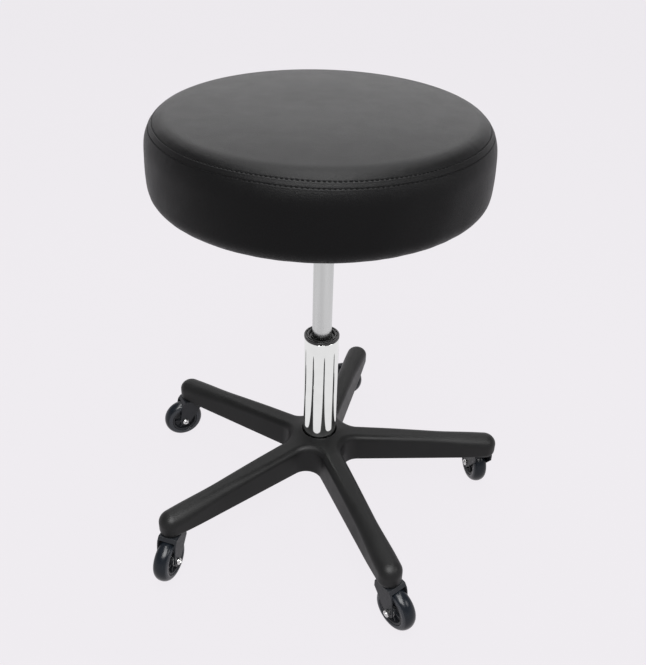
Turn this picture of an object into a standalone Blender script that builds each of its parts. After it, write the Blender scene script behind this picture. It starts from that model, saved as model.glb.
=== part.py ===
"""Round swivel stool: padded seat on a gas-lift column, five-arm base, five casters.

Metres, +Z up. The origin is on the floor on the column's axis.
"""

import math

import bmesh
import bpy
from mathutils import Matrix, Vector

for old in list(bpy.data.objects):
    bpy.data.objects.remove(old, do_unlink=True)

# ---------------------------------------------------------------- dimensions
GAP = 0.0003  # clearance between neighbouring pieces

# seat cushion
SEAT_R = 0.2156
SEAT_X = -0.0077  # the cushion is screwed on a little off the column's axis
SEAT_TOP = 0.6288
SEAT_BOTTOM = 0.5126
SEAT_FLAT_R = 0.040  # flat disc in the middle of the top
SEAT_CROWN = 0.008
SHOULDER_W, SHOULDER_H = 0.031, 0.039
HEEL_W, HEEL_H = 0.031, 0.0246
SEAM_ABOVE_BOTTOM = 0.0950
COVER_T = 0.0020
FOLD_R = 0.150  # where the cover ends under the board
BOARD_R, BOARD_T = 0.186, 0.012
DUST_R, DUST_T = 0.165, 0.0013

# mounting plate and release lever
PLATE_SIDE, PLATE_T, PLATE_CORNER = 0.150, 0.003, 0.014
BOX_X, BOX_Y, BOX_WALL, BOX_DEPTH = 0.066, 0.056, 0.003, 0.0282
SOCKET_R, SOCKET_BOTTOM = 0.0190, 0.4515
SCREW_PITCH = 0.116
SCREW_R, SCREW_HEAD_R, SCREW_LEN = 0.0024, 0.0055, 0.016
LEVER_DIR = math.radians(45.0)
LEVER_R = 0.0045
LEVER_PIVOT_U = 0.016
LEVER_Z = 0.4965
LEVER_PIN_R = 0.0020

# gas lift
TUBE_R, TUBE_R_LOW, TUBE_BORE = 0.0250, 0.0242, 0.0226
TUBE_TOP, TUBE_TAPER_TOP, TUBE_BOTTOM = 0.2928, 0.1350, 0.0560
TUBE_FLOOR = 0.005
BUSH_FLANGE_R, BUSH_TOP, BUSH_LOW = 0.0254, 0.2973, 0.1835
BUSH_R, BUSH_BORE = 0.0223, 0.0143
CYL_R, CYL_TIP_R = 0.0140, 0.0132
CYL_LOW, CYL_TAPER, CYL_TOP = 0.2430, 0.4495, 0.4850
CHAMBER_TOP, PIN_BORE_LOW = 0.4585, 0.4675
CHAMBER_R = 0.0120
ROD_R, ROD_LOW, ROD_TOP = 0.0050, 0.0490, 0.2675
CLIP_LOW, CLIP_TOP = 0.0520, 0.0540
PISTON_R, PISTON_H = 0.0116, 0.012
PIN_R, PIN_LOW, PIN_TOP = 0.0035, 0.4745, 0.4919

# base
ARMS = 5
ARM_A0 = math.radians(3.5)
TIP_R, TIP_END = 0.0173, 0.2815
ROOT_S, ROOT_HALF = 0.050, 0.0192
ROOT_FILLET = 0.024
ARM_TOP_ROOT, ARM_TOP_TIP = 0.1176, 0.1022
ARM_LOW_ROOT, ARM_LOW_TIP = 0.0756, 0.0715
HUB_RISE, HUB_RISE_R = 0.0180, 0.060
ARM_ROUND = 0.0145
WALL = 0.0045
ROOF = 0.009
HUB_BOSS_R, HUB_BOSS_LOW = 0.037, 0.0690
RIB_T = 0.003
CROSS_RIBS = (0.115, 0.180)

# casters
STEM_AT = 0.262
TRAIL = 0.020
SWIVEL_DEG = (103.0, 165.0, 206.0, 251.5, 309.0)
WHEEL_R, TYRE_HALF = 0.032, 0.0110
TYRE_IN = 0.0215
TREAD_R = 0.0240
FORK_IN, FORK_OUT = 0.0120, 0.0145
FORK_TOP, FORK_SLOT_TOP, FORK_BOSS_TOP = 0.0700, 0.0660, 0.0712
FORK_CHEEK_TOP = 0.0575
FORK_BACK, FORK_FRONT = -0.0105, 0.0205
FORK_END_R = 0.010
AXLE_R, AXLE_HEAD_R = 0.0030, 0.0050
NUT_R = 0.0054  # across the corners
STEM_R, STEM_TOP = 0.0050, 0.0945
GROOVE_LOW, GROOVE_TOP = 0.0835, 0.0895
SOCKET_BORE = 0.0059

# ---------------------------------------------------------------- helpers
PARTS = bpy.data.collections.new("round_swivel_stool")
CUTS = bpy.data.collections.new("cutters")
bpy.context.scene.collection.children.link(PARTS)
bpy.context.scene.collection.children.link(CUTS)


def material(name, color, metallic, roughness):
    mat = bpy.data.materials.new(name)
    mat.use_nodes = True
    shader = mat.node_tree.nodes["Principled BSDF"]
    shader.inputs["Base Color"].default_value = (*color, 1.0)
    shader.inputs["Metallic"].default_value = metallic
    shader.inputs["Roughness"].default_value = roughness
    mat.diffuse_color = (*color, 1.0)
    return mat


LEATHER = material("black_leather", (0.020, 0.020, 0.022), 0.0, 0.45)
FOAM = material("foam", (0.75, 0.70, 0.50), 0.0, 0.95)
WOOD = material("plywood", (0.55, 0.38, 0.22), 0.0, 0.7)
CLOTH = material("dust_cloth", (0.015, 0.015, 0.015), 0.0, 0.95)
STEEL_BLACK = material("black_steel", (0.02, 0.02, 0.02), 0.0, 0.4)
STEEL = material("bright_steel", (0.60, 0.60, 0.60), 1.0, 0.3)
CHROME = material("chrome", (0.80, 0.80, 0.82), 1.0, 0.05)
SATIN = material("satin_steel", (0.62, 0.62, 0.62), 1.0, 0.35)
NYLON = material("black_nylon", (0.025, 0.025, 0.027), 0.0, 0.55)
PLASTIC = material("black_plastic", (0.02, 0.02, 0.02), 0.0, 0.4)
RUBBER = material("rubber", (0.03, 0.03, 0.03), 0.0, 0.8)
SMOKE = material("smoke_tyre", (0.02, 0.02, 0.03), 0.0, 0.15)


def link(name, mesh, mat=None, where=PARTS):
    ob = bpy.data.objects.new(name, mesh)
    where.objects.link(ob)
    if mat:
        mesh.materials.clear()
        mesh.materials.append(mat)
    return ob


def tidy(mesh):
    """Welds doubles and turns the faces outwards."""
    bm = bmesh.new()
    bm.from_mesh(mesh)
    bmesh.ops.remove_doubles(bm, verts=bm.verts, dist=1e-6)
    bmesh.ops.recalc_face_normals(bm, faces=bm.faces)
    if bm.calc_volume(signed=True) < 0:
        bmesh.ops.reverse_faces(bm, faces=bm.faces)
    bm.to_mesh(mesh)
    bm.free()
    return mesh


def baked(ob):
    """The object's evaluated mesh, with the object removed."""
    graph = bpy.context.evaluated_depsgraph_get()
    graph.update()
    mesh = bpy.data.meshes.new_from_object(ob.evaluated_get(graph), depsgraph=graph)
    bpy.data.objects.remove(ob, do_unlink=True)
    return tidy(mesh)


def spun(profile, steps=48, closed=False):
    """A Screw of a profile of (radius, z) points about Z."""
    edges = [(i, i + 1) for i in range(len(profile) - 1)]
    if closed:
        edges.append((len(profile) - 1, 0))
    mesh = bpy.data.meshes.new("profile")
    mesh.from_pydata([(r, 0.0, z) for r, z in profile], edges, [])
    ob = link("profile", mesh, where=CUTS)
    mod = ob.modifiers.new("spin", "SCREW")
    mod.axis = "Z"
    mod.angle = 2 * math.pi
    mod.steps = mod.render_steps = steps
    mod.use_merge_vertices = True
    mod.merge_threshold = 1e-5
    return baked(ob)


def slab(points, low, high):
    """A filled 2D curve extruded between two heights."""
    curve = bpy.data.curves.new("outline", "CURVE")
    curve.dimensions = "2D"
    curve.fill_mode = "BOTH"
    curve.extrude = (high - low) / 2
    spline = curve.splines.new("POLY")
    spline.points.add(len(points) - 1)
    for point, (x, y) in zip(spline.points, points):
        point.co = (x, y, 0.0, 1.0)
    spline.use_cyclic_u = True
    ob = bpy.data.objects.new("outline", curve)
    CUTS.objects.link(ob)
    mesh = baked(ob)
    mesh.transform(Matrix.Translation((0, 0, (high + low) / 2)))
    bm = bmesh.new()
    bm.from_mesh(mesh)
    bm.normal_update()
    flat = [e for e in bm.edges if all(abs(f.normal.z) > 0.99 for f in e.link_faces)]
    bmesh.ops.dissolve_edges(bm, edges=flat, use_verts=False)
    bm.to_mesh(mesh)
    bm.free()
    return mesh


def block(size, centre, turn=0.0):
    bm = bmesh.new()
    bmesh.ops.create_cube(bm, size=1.0)
    mesh = bpy.data.meshes.new("block")
    bm.to_mesh(mesh)
    bm.free()
    mesh.transform(
        Matrix.Rotation(turn, 4, "Z")
        @ Matrix.Translation(centre)
        @ Matrix.Diagonal((*size, 1.0))
    )
    return mesh


def drum(radius, low, high, at=(0.0, 0.0), steps=32):
    bm = bmesh.new()
    bmesh.ops.create_cone(
        bm, cap_ends=True, segments=steps, radius1=radius, radius2=radius, depth=high - low
    )
    mesh = bpy.data.meshes.new("drum")
    bm.to_mesh(mesh)
    bm.free()
    mesh.transform(Matrix.Translation((at[0], at[1], (high + low) / 2)))
    return mesh


def cutter(mesh, name="cut"):
    ob = link(name, mesh, where=CUTS)
    ob.hide_render = True
    ob.display_type = "WIRE"
    return ob


def boolean(ob, other, operation):
    mod = ob.modifiers.new(operation.lower(), "BOOLEAN")
    mod.operation = operation
    mod.solver = "EXACT"
    mod.object = other
    return mod


def combined(mesh, steps):
    """A mesh with (operation, mesh) steps applied in turn."""
    for operation, other in steps:
        ob = link("work", mesh, where=CUTS)
        tool = cutter(other)
        boolean(ob, tool, operation)
        mesh = baked(ob)
        bpy.data.objects.remove(tool, do_unlink=True)
    return mesh


def along_y(mesh):
    """Turns a mesh spun about Z so that its axis is +Y."""
    mesh.transform(Matrix.Rotation(-math.pi / 2, 4, "X"))
    return mesh


def arc(cx, cz, rx, rz, start, stop, count):
    return [
        (
            cx + rx * math.cos(math.radians(start + (stop - start) * i / count)),
            cz + rz * math.sin(math.radians(start + (stop - start) * i / count)),
        )
        for i in range(count + 1)
    ]


# ---------------------------------------------------------------- seat
def seat_outline(inset=0.0):
    """Half section of the cushion from the top centre to the heel, inset by a thickness."""
    shoulder_z = SEAT_TOP - SEAT_CROWN - SHOULDER_H
    inner = SEAT_R - SHOULDER_W
    points = [(0.0, SEAT_TOP), (SEAT_FLAT_R, SEAT_TOP)]
    for i in range(1, 5):
        t = i / 4
        r = SEAT_FLAT_R + (inner - SEAT_FLAT_R) * t
        points.append((r, SEAT_TOP - SEAT_CROWN * t * t))
    points += arc(inner, shoulder_z, SHOULDER_W, SHOULDER_H, 90, 0, 7)[1:]
    points += arc(
        SEAT_R - HEEL_W, SEAT_BOTTOM + HEEL_H, HEEL_W, HEEL_H, 0, -90, 5
    )
    if not inset:
        return points
    moved = [(0.0, points[0][1] - inset)]
    for before, here, after in zip(points, points[1:], points[2:]):
        tx, tz = after[0] - before[0], after[1] - before[1]
        length = math.hypot(tx, tz)
        moved.append((here[0] + inset * tz / length, here[1] - inset * tx / length))
    moved.append((points[-1][0], points[-1][1] + inset))
    return moved


SEAM_Z = SEAT_BOTTOM + SEAM_ABOVE_BOTTOM


def at_height(points, z):
    """The point of a falling profile at a height."""
    for (r0, z0), (r1, z1) in zip(points, points[1:]):
        if z1 <= z <= z0 and z0 > z1:
            t = (z0 - z) / (z0 - z1)
            return (r0 + (r1 - r0) * t, z)
    return points[-1]


outer, inner, core = seat_outline(), seat_outline(COVER_T), seat_outline(COVER_T + GAP)


def above(points, z):
    return [p for p in points if p[1] > z + 1e-5] + [at_height(points, z)]


def below(points, z):
    return [at_height(points, z)] + [p for p in points if p[1] < z - 1e-5]


seam_top, seam_low = SEAM_Z + GAP / 2, SEAM_Z - GAP / 2
panel_profile = above(outer, seam_top) + above(inner, seam_top)[::-1]
link("seat_top_panel", spun(panel_profile, 36), LEATHER).location.x = SEAT_X
band_out = below(outer, seam_low) + [(FOLD_R, SEAT_BOTTOM)]
band_in = below(inner, seam_low) + [(FOLD_R, SEAT_BOTTOM + COVER_T)]
link("seat_side_band", spun(band_out + band_in[::-1], 36, closed=True), LEATHER).location.x = SEAT_X

BOARD_LOW = SEAT_BOTTOM + COVER_T + GAP
BOARD_TOP = BOARD_LOW + BOARD_T
foam_low = BOARD_TOP + GAP
foam_profile = above(core, foam_low) + [(0.0, foam_low)]
link("seat_foam", spun(foam_profile, 36), FOAM).location.x = SEAT_X

half = SCREW_PITCH / 2
SCREW_SPOTS = [
    (x * math.cos(LEVER_DIR) - y * math.sin(LEVER_DIR), x * math.sin(LEVER_DIR) + y * math.cos(LEVER_DIR))
    for x, y in ((half, half), (-half, half), (-half, -half), (half, -half))
]
DUST_TOP = SEAT_BOTTOM - GAP
DUST_LOW = DUST_TOP - DUST_T
PLATE_TOP = DUST_LOW - GAP
PLATE_LOW = PLATE_TOP - PLATE_T
SCREW_SEAT = PLATE_LOW - GAP
SCREW_TIP = SCREW_SEAT + SCREW_LEN

board = spun(
    [(0.0, BOARD_TOP), (BOARD_R - 0.001, BOARD_TOP), (BOARD_R, BOARD_TOP - 0.001),
     (BOARD_R, BOARD_LOW + 0.001), (BOARD_R - 0.001, BOARD_LOW), (0.0, BOARD_LOW)], 40
)
board.transform(Matrix.Translation((SEAT_X, 0, 0)))
board = combined(
    board,
    [("DIFFERENCE", drum(SCREW_R + GAP, BOARD_LOW - 0.004, SCREW_TIP + 0.001, at, 16)) for at in SCREW_SPOTS],
)
link("seat_board", board, WOOD)

dust = drum(DUST_R, DUST_LOW, DUST_TOP, steps=40)
dust.transform(Matrix.Translation((SEAT_X, 0, 0)))
dust = combined(
    dust,
    [("DIFFERENCE", drum(SCREW_R + GAP, DUST_LOW - 0.004, DUST_TOP + 0.004, at, 16)) for at in SCREW_SPOTS],
)
link("dust_cover", dust, CLOTH)

# mounting plate: flange, a shallow open box for the lever, and a conical socket
corner = PLATE_SIDE / 2 - PLATE_CORNER
plate_outline = []
for quarter, (sx, sy) in enumerate(((1, 1), (-1, 1), (-1, -1), (1, -1))):
    plate_outline += arc(
        sx * corner, sy * corner, PLATE_CORNER, PLATE_CORNER, 90 * quarter, 90 * quarter + 90, 5
    )
BOX_LOW = PLATE_TOP - BOX_DEPTH - BOX_WALL
plate = slab(plate_outline, PLATE_LOW, PLATE_TOP)
SOCKET_TOP_Z = BOX_LOW + BOX_WALL


def cylinder_radius(z):
    t = min(1.0, max(0.0, (z - CYL_TAPER) / (CYL_TOP - 0.0015 - CYL_TAPER)))
    return CYL_R + (CYL_TIP_R - CYL_R) * t


bore = spun(
    [
        (0.0, SOCKET_TOP_Z + 0.002),
        (cylinder_radius(SOCKET_TOP_Z) + GAP, SOCKET_TOP_Z + 0.002),
        (cylinder_radius(SOCKET_TOP_Z) + GAP, SOCKET_TOP_Z),
        (CYL_R + GAP, CYL_TAPER),
        (CYL_R + GAP, SOCKET_BOTTOM - 0.006),
        (0.0, SOCKET_BOTTOM - 0.006),
    ],
    32,
)
plate = combined(
    plate,
    [
        ("UNION", block((BOX_X + 2 * BOX_WALL, BOX_Y + 2 * BOX_WALL, BOX_DEPTH + BOX_WALL - 0.001),
                        (0, 0, BOX_LOW + (BOX_DEPTH + BOX_WALL - 0.001) / 2))),
        ("UNION", spun([(0.0, BOX_LOW + 0.001), (SOCKET_R + 0.004, BOX_LOW + 0.001), (SOCKET_R, BOX_LOW - 0.006),
                        (SOCKET_R, SOCKET_BOTTOM), (0.0, SOCKET_BOTTOM)], 32)),
        ("DIFFERENCE", block((BOX_X, BOX_Y, BOX_DEPTH + 0.01), (0, 0, BOX_LOW + BOX_WALL + (BOX_DEPTH + 0.01) / 2))),
        ("DIFFERENCE", bore),
        ("DIFFERENCE", block((0.02, 0.0120, 0.0150), (BOX_X / 2 + BOX_WALL / 2, 0, LEVER_Z + 0.0010))),
    ],
)
pivot_hole = along_y(drum(LEVER_PIN_R + GAP, -0.05, 0.05, steps=16))
pivot_hole.transform(Matrix.Translation((LEVER_PIVOT_U, 0, LEVER_Z)))
plate = combined(plate, [("DIFFERENCE", pivot_hole)])
plate.transform(Matrix.Rotation(LEVER_DIR, 4, "Z"))
plate = combined(
    plate,
    [("DIFFERENCE", drum(SCREW_R + GAP, PLATE_LOW - 0.004, PLATE_TOP + 0.004, at, 16)) for at in SCREW_SPOTS],
)
link("seat_plate", plate, STEEL_BLACK)

screw_profile = [
    (0.0, SCREW_TIP), (SCREW_R * 0.4, SCREW_TIP), (SCREW_R, SCREW_TIP - 0.003), (SCREW_R, SCREW_SEAT),
    (SCREW_HEAD_R, SCREW_SEAT), (SCREW_HEAD_R, SCREW_SEAT - 0.0012), (SCREW_HEAD_R * 0.6, SCREW_SEAT - 0.0032),
    (0.0, SCREW_SEAT - 0.0034),
]
screw = spun(screw_profile, 12)
for number, at in enumerate(SCREW_SPOTS, 1):
    link(f"plate_screw_{number}", screw, STEEL).location = (*at, 0.0)

# release lever: a bent rod that presses the release pin down when its grip is pulled up
LEVER_PATH = [(-0.006, 0.0), (0.034, 0.0), (0.070, -0.0045), (0.150, -0.0125), (0.186, -0.0160)]
curve = bpy.data.curves.new("lever", "CURVE")
curve.dimensions = "3D"
curve.bevel_depth = LEVER_R
curve.bevel_resolution = 3
curve.use_fill_caps = True
spline = curve.splines.new("POLY")
spline.points.add(len(LEVER_PATH) - 1)
for point, (u, z) in zip(spline.points, LEVER_PATH):
    point.co = (u - LEVER_PIVOT_U, 0.0, z, 1.0)
lever_ob = bpy.data.objects.new("lever", curve)
CUTS.objects.link(lever_ob)
lever = combined(
    baked(lever_ob),
    [
        ("UNION", along_y(drum(0.0065, -0.006, 0.006, steps=24))),
        ("DIFFERENCE", along_y(drum(LEVER_PIN_R + GAP, -0.02, 0.02, steps=16))),
    ],
)
PIVOT = Vector((LEVER_PIVOT_U * math.cos(LEVER_DIR), LEVER_PIVOT_U * math.sin(LEVER_DIR), LEVER_Z))
ob = link("release_lever", lever, STEEL)
ob.location, ob.rotation_euler = PIVOT, (0, 0, LEVER_DIR)

grip = spun(
    [(0.0, 0.046), (0.004, 0.0455), (0.0075, 0.043), (0.0085, 0.038), (0.0080, 0.020), (0.0070, 0.004),
     (0.0062, 0.0), (LEVER_R + GAP, 0.0), (LEVER_R + GAP, 0.034), (0.0, 0.034)], 18
)
(u0, z0), (u1, z1) = LEVER_PATH[-2:]
tilt = math.atan2(z1 - z0, u1 - u0)
grip.transform(Matrix.Rotation(math.pi / 2 - tilt, 4, "Y"))
reach = 0.0330
grip.transform(
    Matrix.Translation((u1 - LEVER_PIVOT_U - reach * math.cos(tilt), 0, z1 - reach * math.sin(tilt)))
)
ob = link("lever_grip", grip, PLASTIC)
ob.location, ob.rotation_euler = PIVOT, (0, 0, LEVER_DIR)

wide = BOX_Y / 2 + BOX_WALL
pivot_pin = along_y(
    spun(
        [(0.0, wide + 0.0020), (LEVER_PIN_R, wide + 0.0020), (LEVER_PIN_R, -wide - GAP), (0.0040, -wide - GAP),
         (0.0040, -wide - 0.0020), (0.0, -wide - 0.0020)], 16
    )
)
ob = link("lever_pivot_pin", pivot_pin, STEEL)
ob.location, ob.rotation_euler = PIVOT, (0, 0, LEVER_DIR)

# ---------------------------------------------------------------- gas lift
tube = spun(
    [
        (TUBE_BORE, TUBE_TOP), (TUBE_R - 0.0004, TUBE_TOP), (TUBE_R, TUBE_TOP - 0.0004), (TUBE_R, TUBE_TAPER_TOP),
        (TUBE_R_LOW, TUBE_BOTTOM + 0.002), (TUBE_R_LOW - 0.002, TUBE_BOTTOM), (ROD_R + 0.0006, TUBE_BOTTOM),
        (ROD_R + 0.0006, TUBE_BOTTOM + TUBE_FLOOR), (TUBE_BORE, TUBE_BOTTOM + TUBE_FLOOR),
    ],
    32,
    closed=True,
)
link("lift_tube", tube, CHROME)

flange_low = TUBE_TOP + GAP
bushing = spun(
    [
        (0.0205, BUSH_TOP - 0.0006), (0.0215, BUSH_TOP), (BUSH_FLANGE_R - 0.0008, BUSH_TOP),
        (BUSH_FLANGE_R, BUSH_TOP - 0.0008), (BUSH_FLANGE_R, flange_low), (BUSH_R, flange_low),
        (BUSH_R, BUSH_LOW), (BUSH_BORE, BUSH_LOW), (BUSH_BORE, BUSH_TOP - 0.0050),
    ],
    32,
    closed=True,
)
link("guide_bushing", bushing, PLASTIC)

cylinder = spun(
    [
        (0.0, PIN_BORE_LOW), (PIN_R + GAP, PIN_BORE_LOW), (PIN_R + GAP, CYL_TOP), (CYL_TIP_R - 0.0015, CYL_TOP),
        (CYL_TIP_R, CYL_TOP - 0.0015), (CYL_R, CYL_TAPER), (CYL_R, CYL_LOW + 0.001), (CYL_R - 0.001, CYL_LOW),
        (ROD_R + 0.0006, CYL_LOW), (ROD_R + 0.0006, CYL_LOW + 0.005), (CHAMBER_R, CYL_LOW + 0.005),
        (CHAMBER_R, CHAMBER_TOP), (0.0, CHAMBER_TOP),
    ],
    32,
)
link("gas_cylinder", cylinder, SATIN)

release_pin = spun(
    [(0.0, PIN_TOP), (PIN_R - 0.0010, PIN_TOP - 0.0001), (PIN_R, PIN_TOP - 0.0010), (PIN_R, PIN_LOW), (0.0, PIN_LOW)], 20
)
link("release_pin", release_pin, STEEL)

piston = ROD_TOP - PISTON_H
rod = spun(
    [
        (0.0, ROD_TOP), (PISTON_R - 0.001, ROD_TOP), (PISTON_R, ROD_TOP - 0.001), (PISTON_R, piston + 0.001),
        (PISTON_R - 0.001, piston), (ROD_R, piston), (ROD_R, CLIP_TOP + 0.0005), (0.0040, CLIP_TOP + 0.0005), (0.0040, CLIP_LOW - 0.0005),
        (ROD_R, CLIP_LOW - 0.0005), (ROD_R, ROD_LOW + 0.001), (ROD_R - 0.001, ROD_LOW), (0.0, ROD_LOW),
    ],
    20,
)
link("piston_rod", rod, STEEL)

stack = TUBE_BOTTOM + TUBE_FLOOR + GAP


def washer(inner_r, outer_r, low, high, steps=24):
    return spun([(inner_r, high), (outer_r, high), (outer_r, low), (inner_r, low)], steps, closed=True)


link("bearing_lower_washer", washer(0.0055, 0.0150, stack, stack + 0.002), STEEL)
ring_profile = [(0.0100 + 0.0017 * math.cos(a), 0.0017 * math.sin(a))
                for a in [math.radians(90 - 45 * i) for i in range(8)]]
ball_ring = spun(ring_profile, 24, closed=True)
ball_ring.transform(Matrix.Translation((0, 0, stack + 0.002 + GAP + 0.0017)))
link("bearing_ball_ring", ball_ring, STEEL)
upper = stack + 0.002 + 2 * GAP + 0.0034
link("bearing_upper_washer", washer(0.0054, 0.0150, upper, upper + 0.002), STEEL)
bump = upper + 0.002 + GAP
bumper = spun(
    [(0.0056, bump + 0.016), (0.0110, bump + 0.016), (0.0130, bump + 0.013), (0.0120, bump + 0.008),
     (0.0130, bump + 0.003), (0.0130, bump), (0.0056, bump)], 20, closed=True
)
link("rubber_bumper", bumper, RUBBER)
clip = combined(
    washer(0.0043, 0.0090, CLIP_LOW, CLIP_TOP, 32),
    [("DIFFERENCE", block((0.012, 0.0070, 0.01), (0.009, 0, CLIP_LOW + 0.001)))],
)
link("rod_clip", clip, STEEL)


# ---------------------------------------------------------------- base
def star(inset=0.0):
    """Plan outline of the base, moved inwards by an inset."""
    tip_s = TIP_END - TIP_R
    slope = math.atan2(ROOT_HALF - TIP_R, tip_s - ROOT_S)
    nx, ny = math.sin(slope), math.cos(slope)
    offset = nx * ROOT_S + ny * ROOT_HALF
    between = math.pi / ARMS
    reach = (ROOT_FILLET + offset) / (nx * math.cos(between) + ny * math.sin(between))
    cx, cy = reach * math.cos(between), reach * math.sin(between)
    fillet = ROOT_FILLET + inset
    tangent = (cx - fillet * nx, cy - fillet * ny)
    tip_r = TIP_R - inset
    points = []
    first = math.degrees(math.atan2(-ny, -nx)) % 360
    last = (math.degrees(2 * between) - first) % 360
    side_end = (tip_s + tip_r * nx, tip_r * ny)
    for arm in range(ARMS):
        local = []
        for i in range(3):
            t = i / 2
            local.append((tangent[0] + (side_end[0] - tangent[0]) * t, -(tangent[1] + (side_end[1] - tangent[1]) * t)))
        start = -90 + math.degrees(slope)
        local += arc(tip_s, 0.0, tip_r, tip_r, start, -start, 6)[1:-1]
        for i in range(2, -1, -1):
            t = i / 2
            local.append((tangent[0] + (side_end[0] - tangent[0]) * t, tangent[1] + (side_end[1] - tangent[1]) * t))
        local += arc(cx, cy, fillet, fillet, first, last, 5)[1:-1]
        turn = ARM_A0 + 2 * between * arm
        c, s = math.cos(turn), math.sin(turn)
        points += [(x * c - y * s, x * s + y * c) for x, y in local]
    return points


def arm_top(r):
    z = ARM_TOP_ROOT + (ARM_TOP_TIP - ARM_TOP_ROOT) * (r - ROOT_S) / (TIP_END - ROOT_S)
    rise = max(0.0, (HUB_RISE_R - r) / HUB_RISE_R)
    return z + HUB_RISE * rise * rise


def arm_low(r):
    return ARM_LOW_ROOT + (ARM_LOW_TIP - ARM_LOW_ROOT) * (r - ROOT_S) / (TIP_END - ROOT_S)


def sloped(mesh, top, low):
    """Gives the mesh's upper and lower faces heights that fall with the radius."""
    for v in mesh.vertices:
        r = math.hypot(v.co.x, v.co.y)
        v.co.z = top(r) if v.co.z > 0.1 else low(r)
    return mesh


def in_triangles(mesh):
    bm = bmesh.new()
    bm.from_mesh(mesh)
    bmesh.ops.triangulate(bm, faces=bm.faces, ngon_method="BEAUTY")
    bm.to_mesh(mesh)
    bm.free()
    return mesh


body = sloped(slab(star(), 0.05, 0.15), arm_top, arm_low)
weights = body.attributes.new("bevel_weight_edge", "FLOAT", "EDGE")
for edge in body.edges:
    a, b = (body.vertices[i].co for i in edge.vertices)
    high_a = a.z > (arm_top(math.hypot(a.x, a.y)) + arm_low(math.hypot(a.x, a.y))) / 2
    high_b = b.z > (arm_top(math.hypot(b.x, b.y)) + arm_low(math.hypot(b.x, b.y))) / 2
    weights.data[edge.index].value = 1.0 if high_a and high_b else 0.0
ob = link("work", body, where=CUTS)
bevel = ob.modifiers.new("round", "BEVEL")
bevel.width = ARM_ROUND
bevel.segments = 3
bevel.limit_method = "WEIGHT"
bevel.use_clamp_overlap = False
body = in_triangles(baked(ob))

hollow = in_triangles(sloped(slab(star(WALL), 0.04, 0.15), lambda r: arm_top(r) - ROOF, lambda r: 0.05))
ribs = [("DIFFERENCE", drum(HUB_BOSS_R, 0.03, 0.16, steps=32))]
for arm in range(ARMS):
    turn = ARM_A0 + 2 * math.pi / ARMS * arm
    at = (STEM_AT * math.cos(turn), STEM_AT * math.sin(turn))
    ribs.append(("DIFFERENCE", drum(0.0125, 0.03, 0.16, at, 16)))
    ribs.append(("DIFFERENCE", block((0.200, RIB_T, 0.2), (0.150, 0, 0.1), turn)))
    for s in CROSS_RIBS:
        ribs.append(("DIFFERENCE", block((RIB_T, 0.060, 0.2), (s, 0, 0.1), turn)))
pockets = hollow
for operation, tool in ribs:
    pockets = combined(pockets, [(operation, tool)])

base = link("base", body, NYLON)
boolean(base, cutter(drum(HUB_BOSS_R - 0.0006, HUB_BOSS_LOW, 0.105, steps=32), "hub_boss"), "UNION")
boolean(base, cutter(pockets, "pockets"), "DIFFERENCE")
tube_bore = spun(
    [(0.0, 0.160), (TUBE_R + GAP, 0.160), (TUBE_R + GAP, TUBE_TAPER_TOP), (TUBE_R_LOW + GAP, TUBE_BOTTOM), (0.0, TUBE_BOTTOM)], 32
)
boolean(base, cutter(tube_bore, "tube_bore"), "DIFFERENCE")
STEMS = []
for arm in range(ARMS):
    turn = ARM_A0 + 2 * math.pi / ARMS * arm
    at = (STEM_AT * math.cos(turn), STEM_AT * math.sin(turn))
    STEMS.append(at)
    boolean(base, cutter(drum(SOCKET_BORE, 0.06, STEM_TOP + 0.002, at, 16), f"socket_{arm + 1}"), "DIFFERENCE")

# ---------------------------------------------------------------- casters
stem = spun(
    [
        (0.0, STEM_TOP), (STEM_R - 0.001, STEM_TOP), (STEM_R, STEM_TOP - 0.001), (STEM_R, GROOVE_TOP), (0.0042, GROOVE_TOP),
        (0.0042, GROOVE_LOW), (STEM_R, GROOVE_LOW), (STEM_R, FORK_SLOT_TOP - GAP), (0.0080, FORK_SLOT_TOP - GAP),
        (0.0080, FORK_SLOT_TOP - 0.0020), (0.0060, FORK_SLOT_TOP - 0.0032), (0.0, FORK_SLOT_TOP - 0.0034),
    ],
    12,
)
grip_ring = combined(
    washer(0.0045, 0.0055, GROOVE_LOW + GAP, GROOVE_TOP - GAP, 12),
    [("DIFFERENCE", block((0.01, 0.0016, 0.02), (0.006, 0, GROOVE_LOW + 0.003)))],
)

def tangent_from(px, pz, side):
    """Tangent point on the fork's rounded end from a corner."""
    dx, dz = TRAIL - px, WHEEL_R - pz
    dist = math.hypot(dx, dz)
    base_angle = math.atan2(-dz, -dx)
    spread = math.acos(FORK_END_R / dist)
    a = base_angle + side * spread
    return math.degrees(a)


c = 0.003
top_side = [(FORK_FRONT, FORK_TOP - c), (FORK_FRONT - c, FORK_TOP), (FORK_BACK + c, FORK_TOP), (FORK_BACK, FORK_TOP - c)]
front_corner, back_corner = (FORK_FRONT + 0.004, FORK_CHEEK_TOP), (FORK_BACK, FORK_CHEEK_TOP)
a_back = tangent_from(*back_corner, 1)
a_front = tangent_from(*front_corner, -1)
while a_front < a_back:
    a_front += 360
fork_outline = top_side + [back_corner] + arc(TRAIL, WHEEL_R, FORK_END_R, FORK_END_R, a_back, a_front, 9) + [front_corner]
fork = slab(fork_outline, -FORK_OUT, FORK_OUT)
fork.transform(Matrix.Rotation(math.pi / 2, 4, "X"))
fork = combined(
    fork,
    [
        ("UNION", drum(0.0098, FORK_TOP - 0.002, FORK_BOSS_TOP, steps=20)),
        ("DIFFERENCE", block((0.12, 2 * FORK_IN, 0.10), (0, 0, FORK_SLOT_TOP - 0.05))),
        ("DIFFERENCE", drum(STEM_R + GAP, 0.045, 0.10, steps=12)),
    ],
)
axle_hole = along_y(drum(AXLE_R + GAP, -0.04, 0.04, steps=12))
axle_hole.transform(Matrix.Translation((TRAIL, 0, WHEEL_R)))
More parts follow.
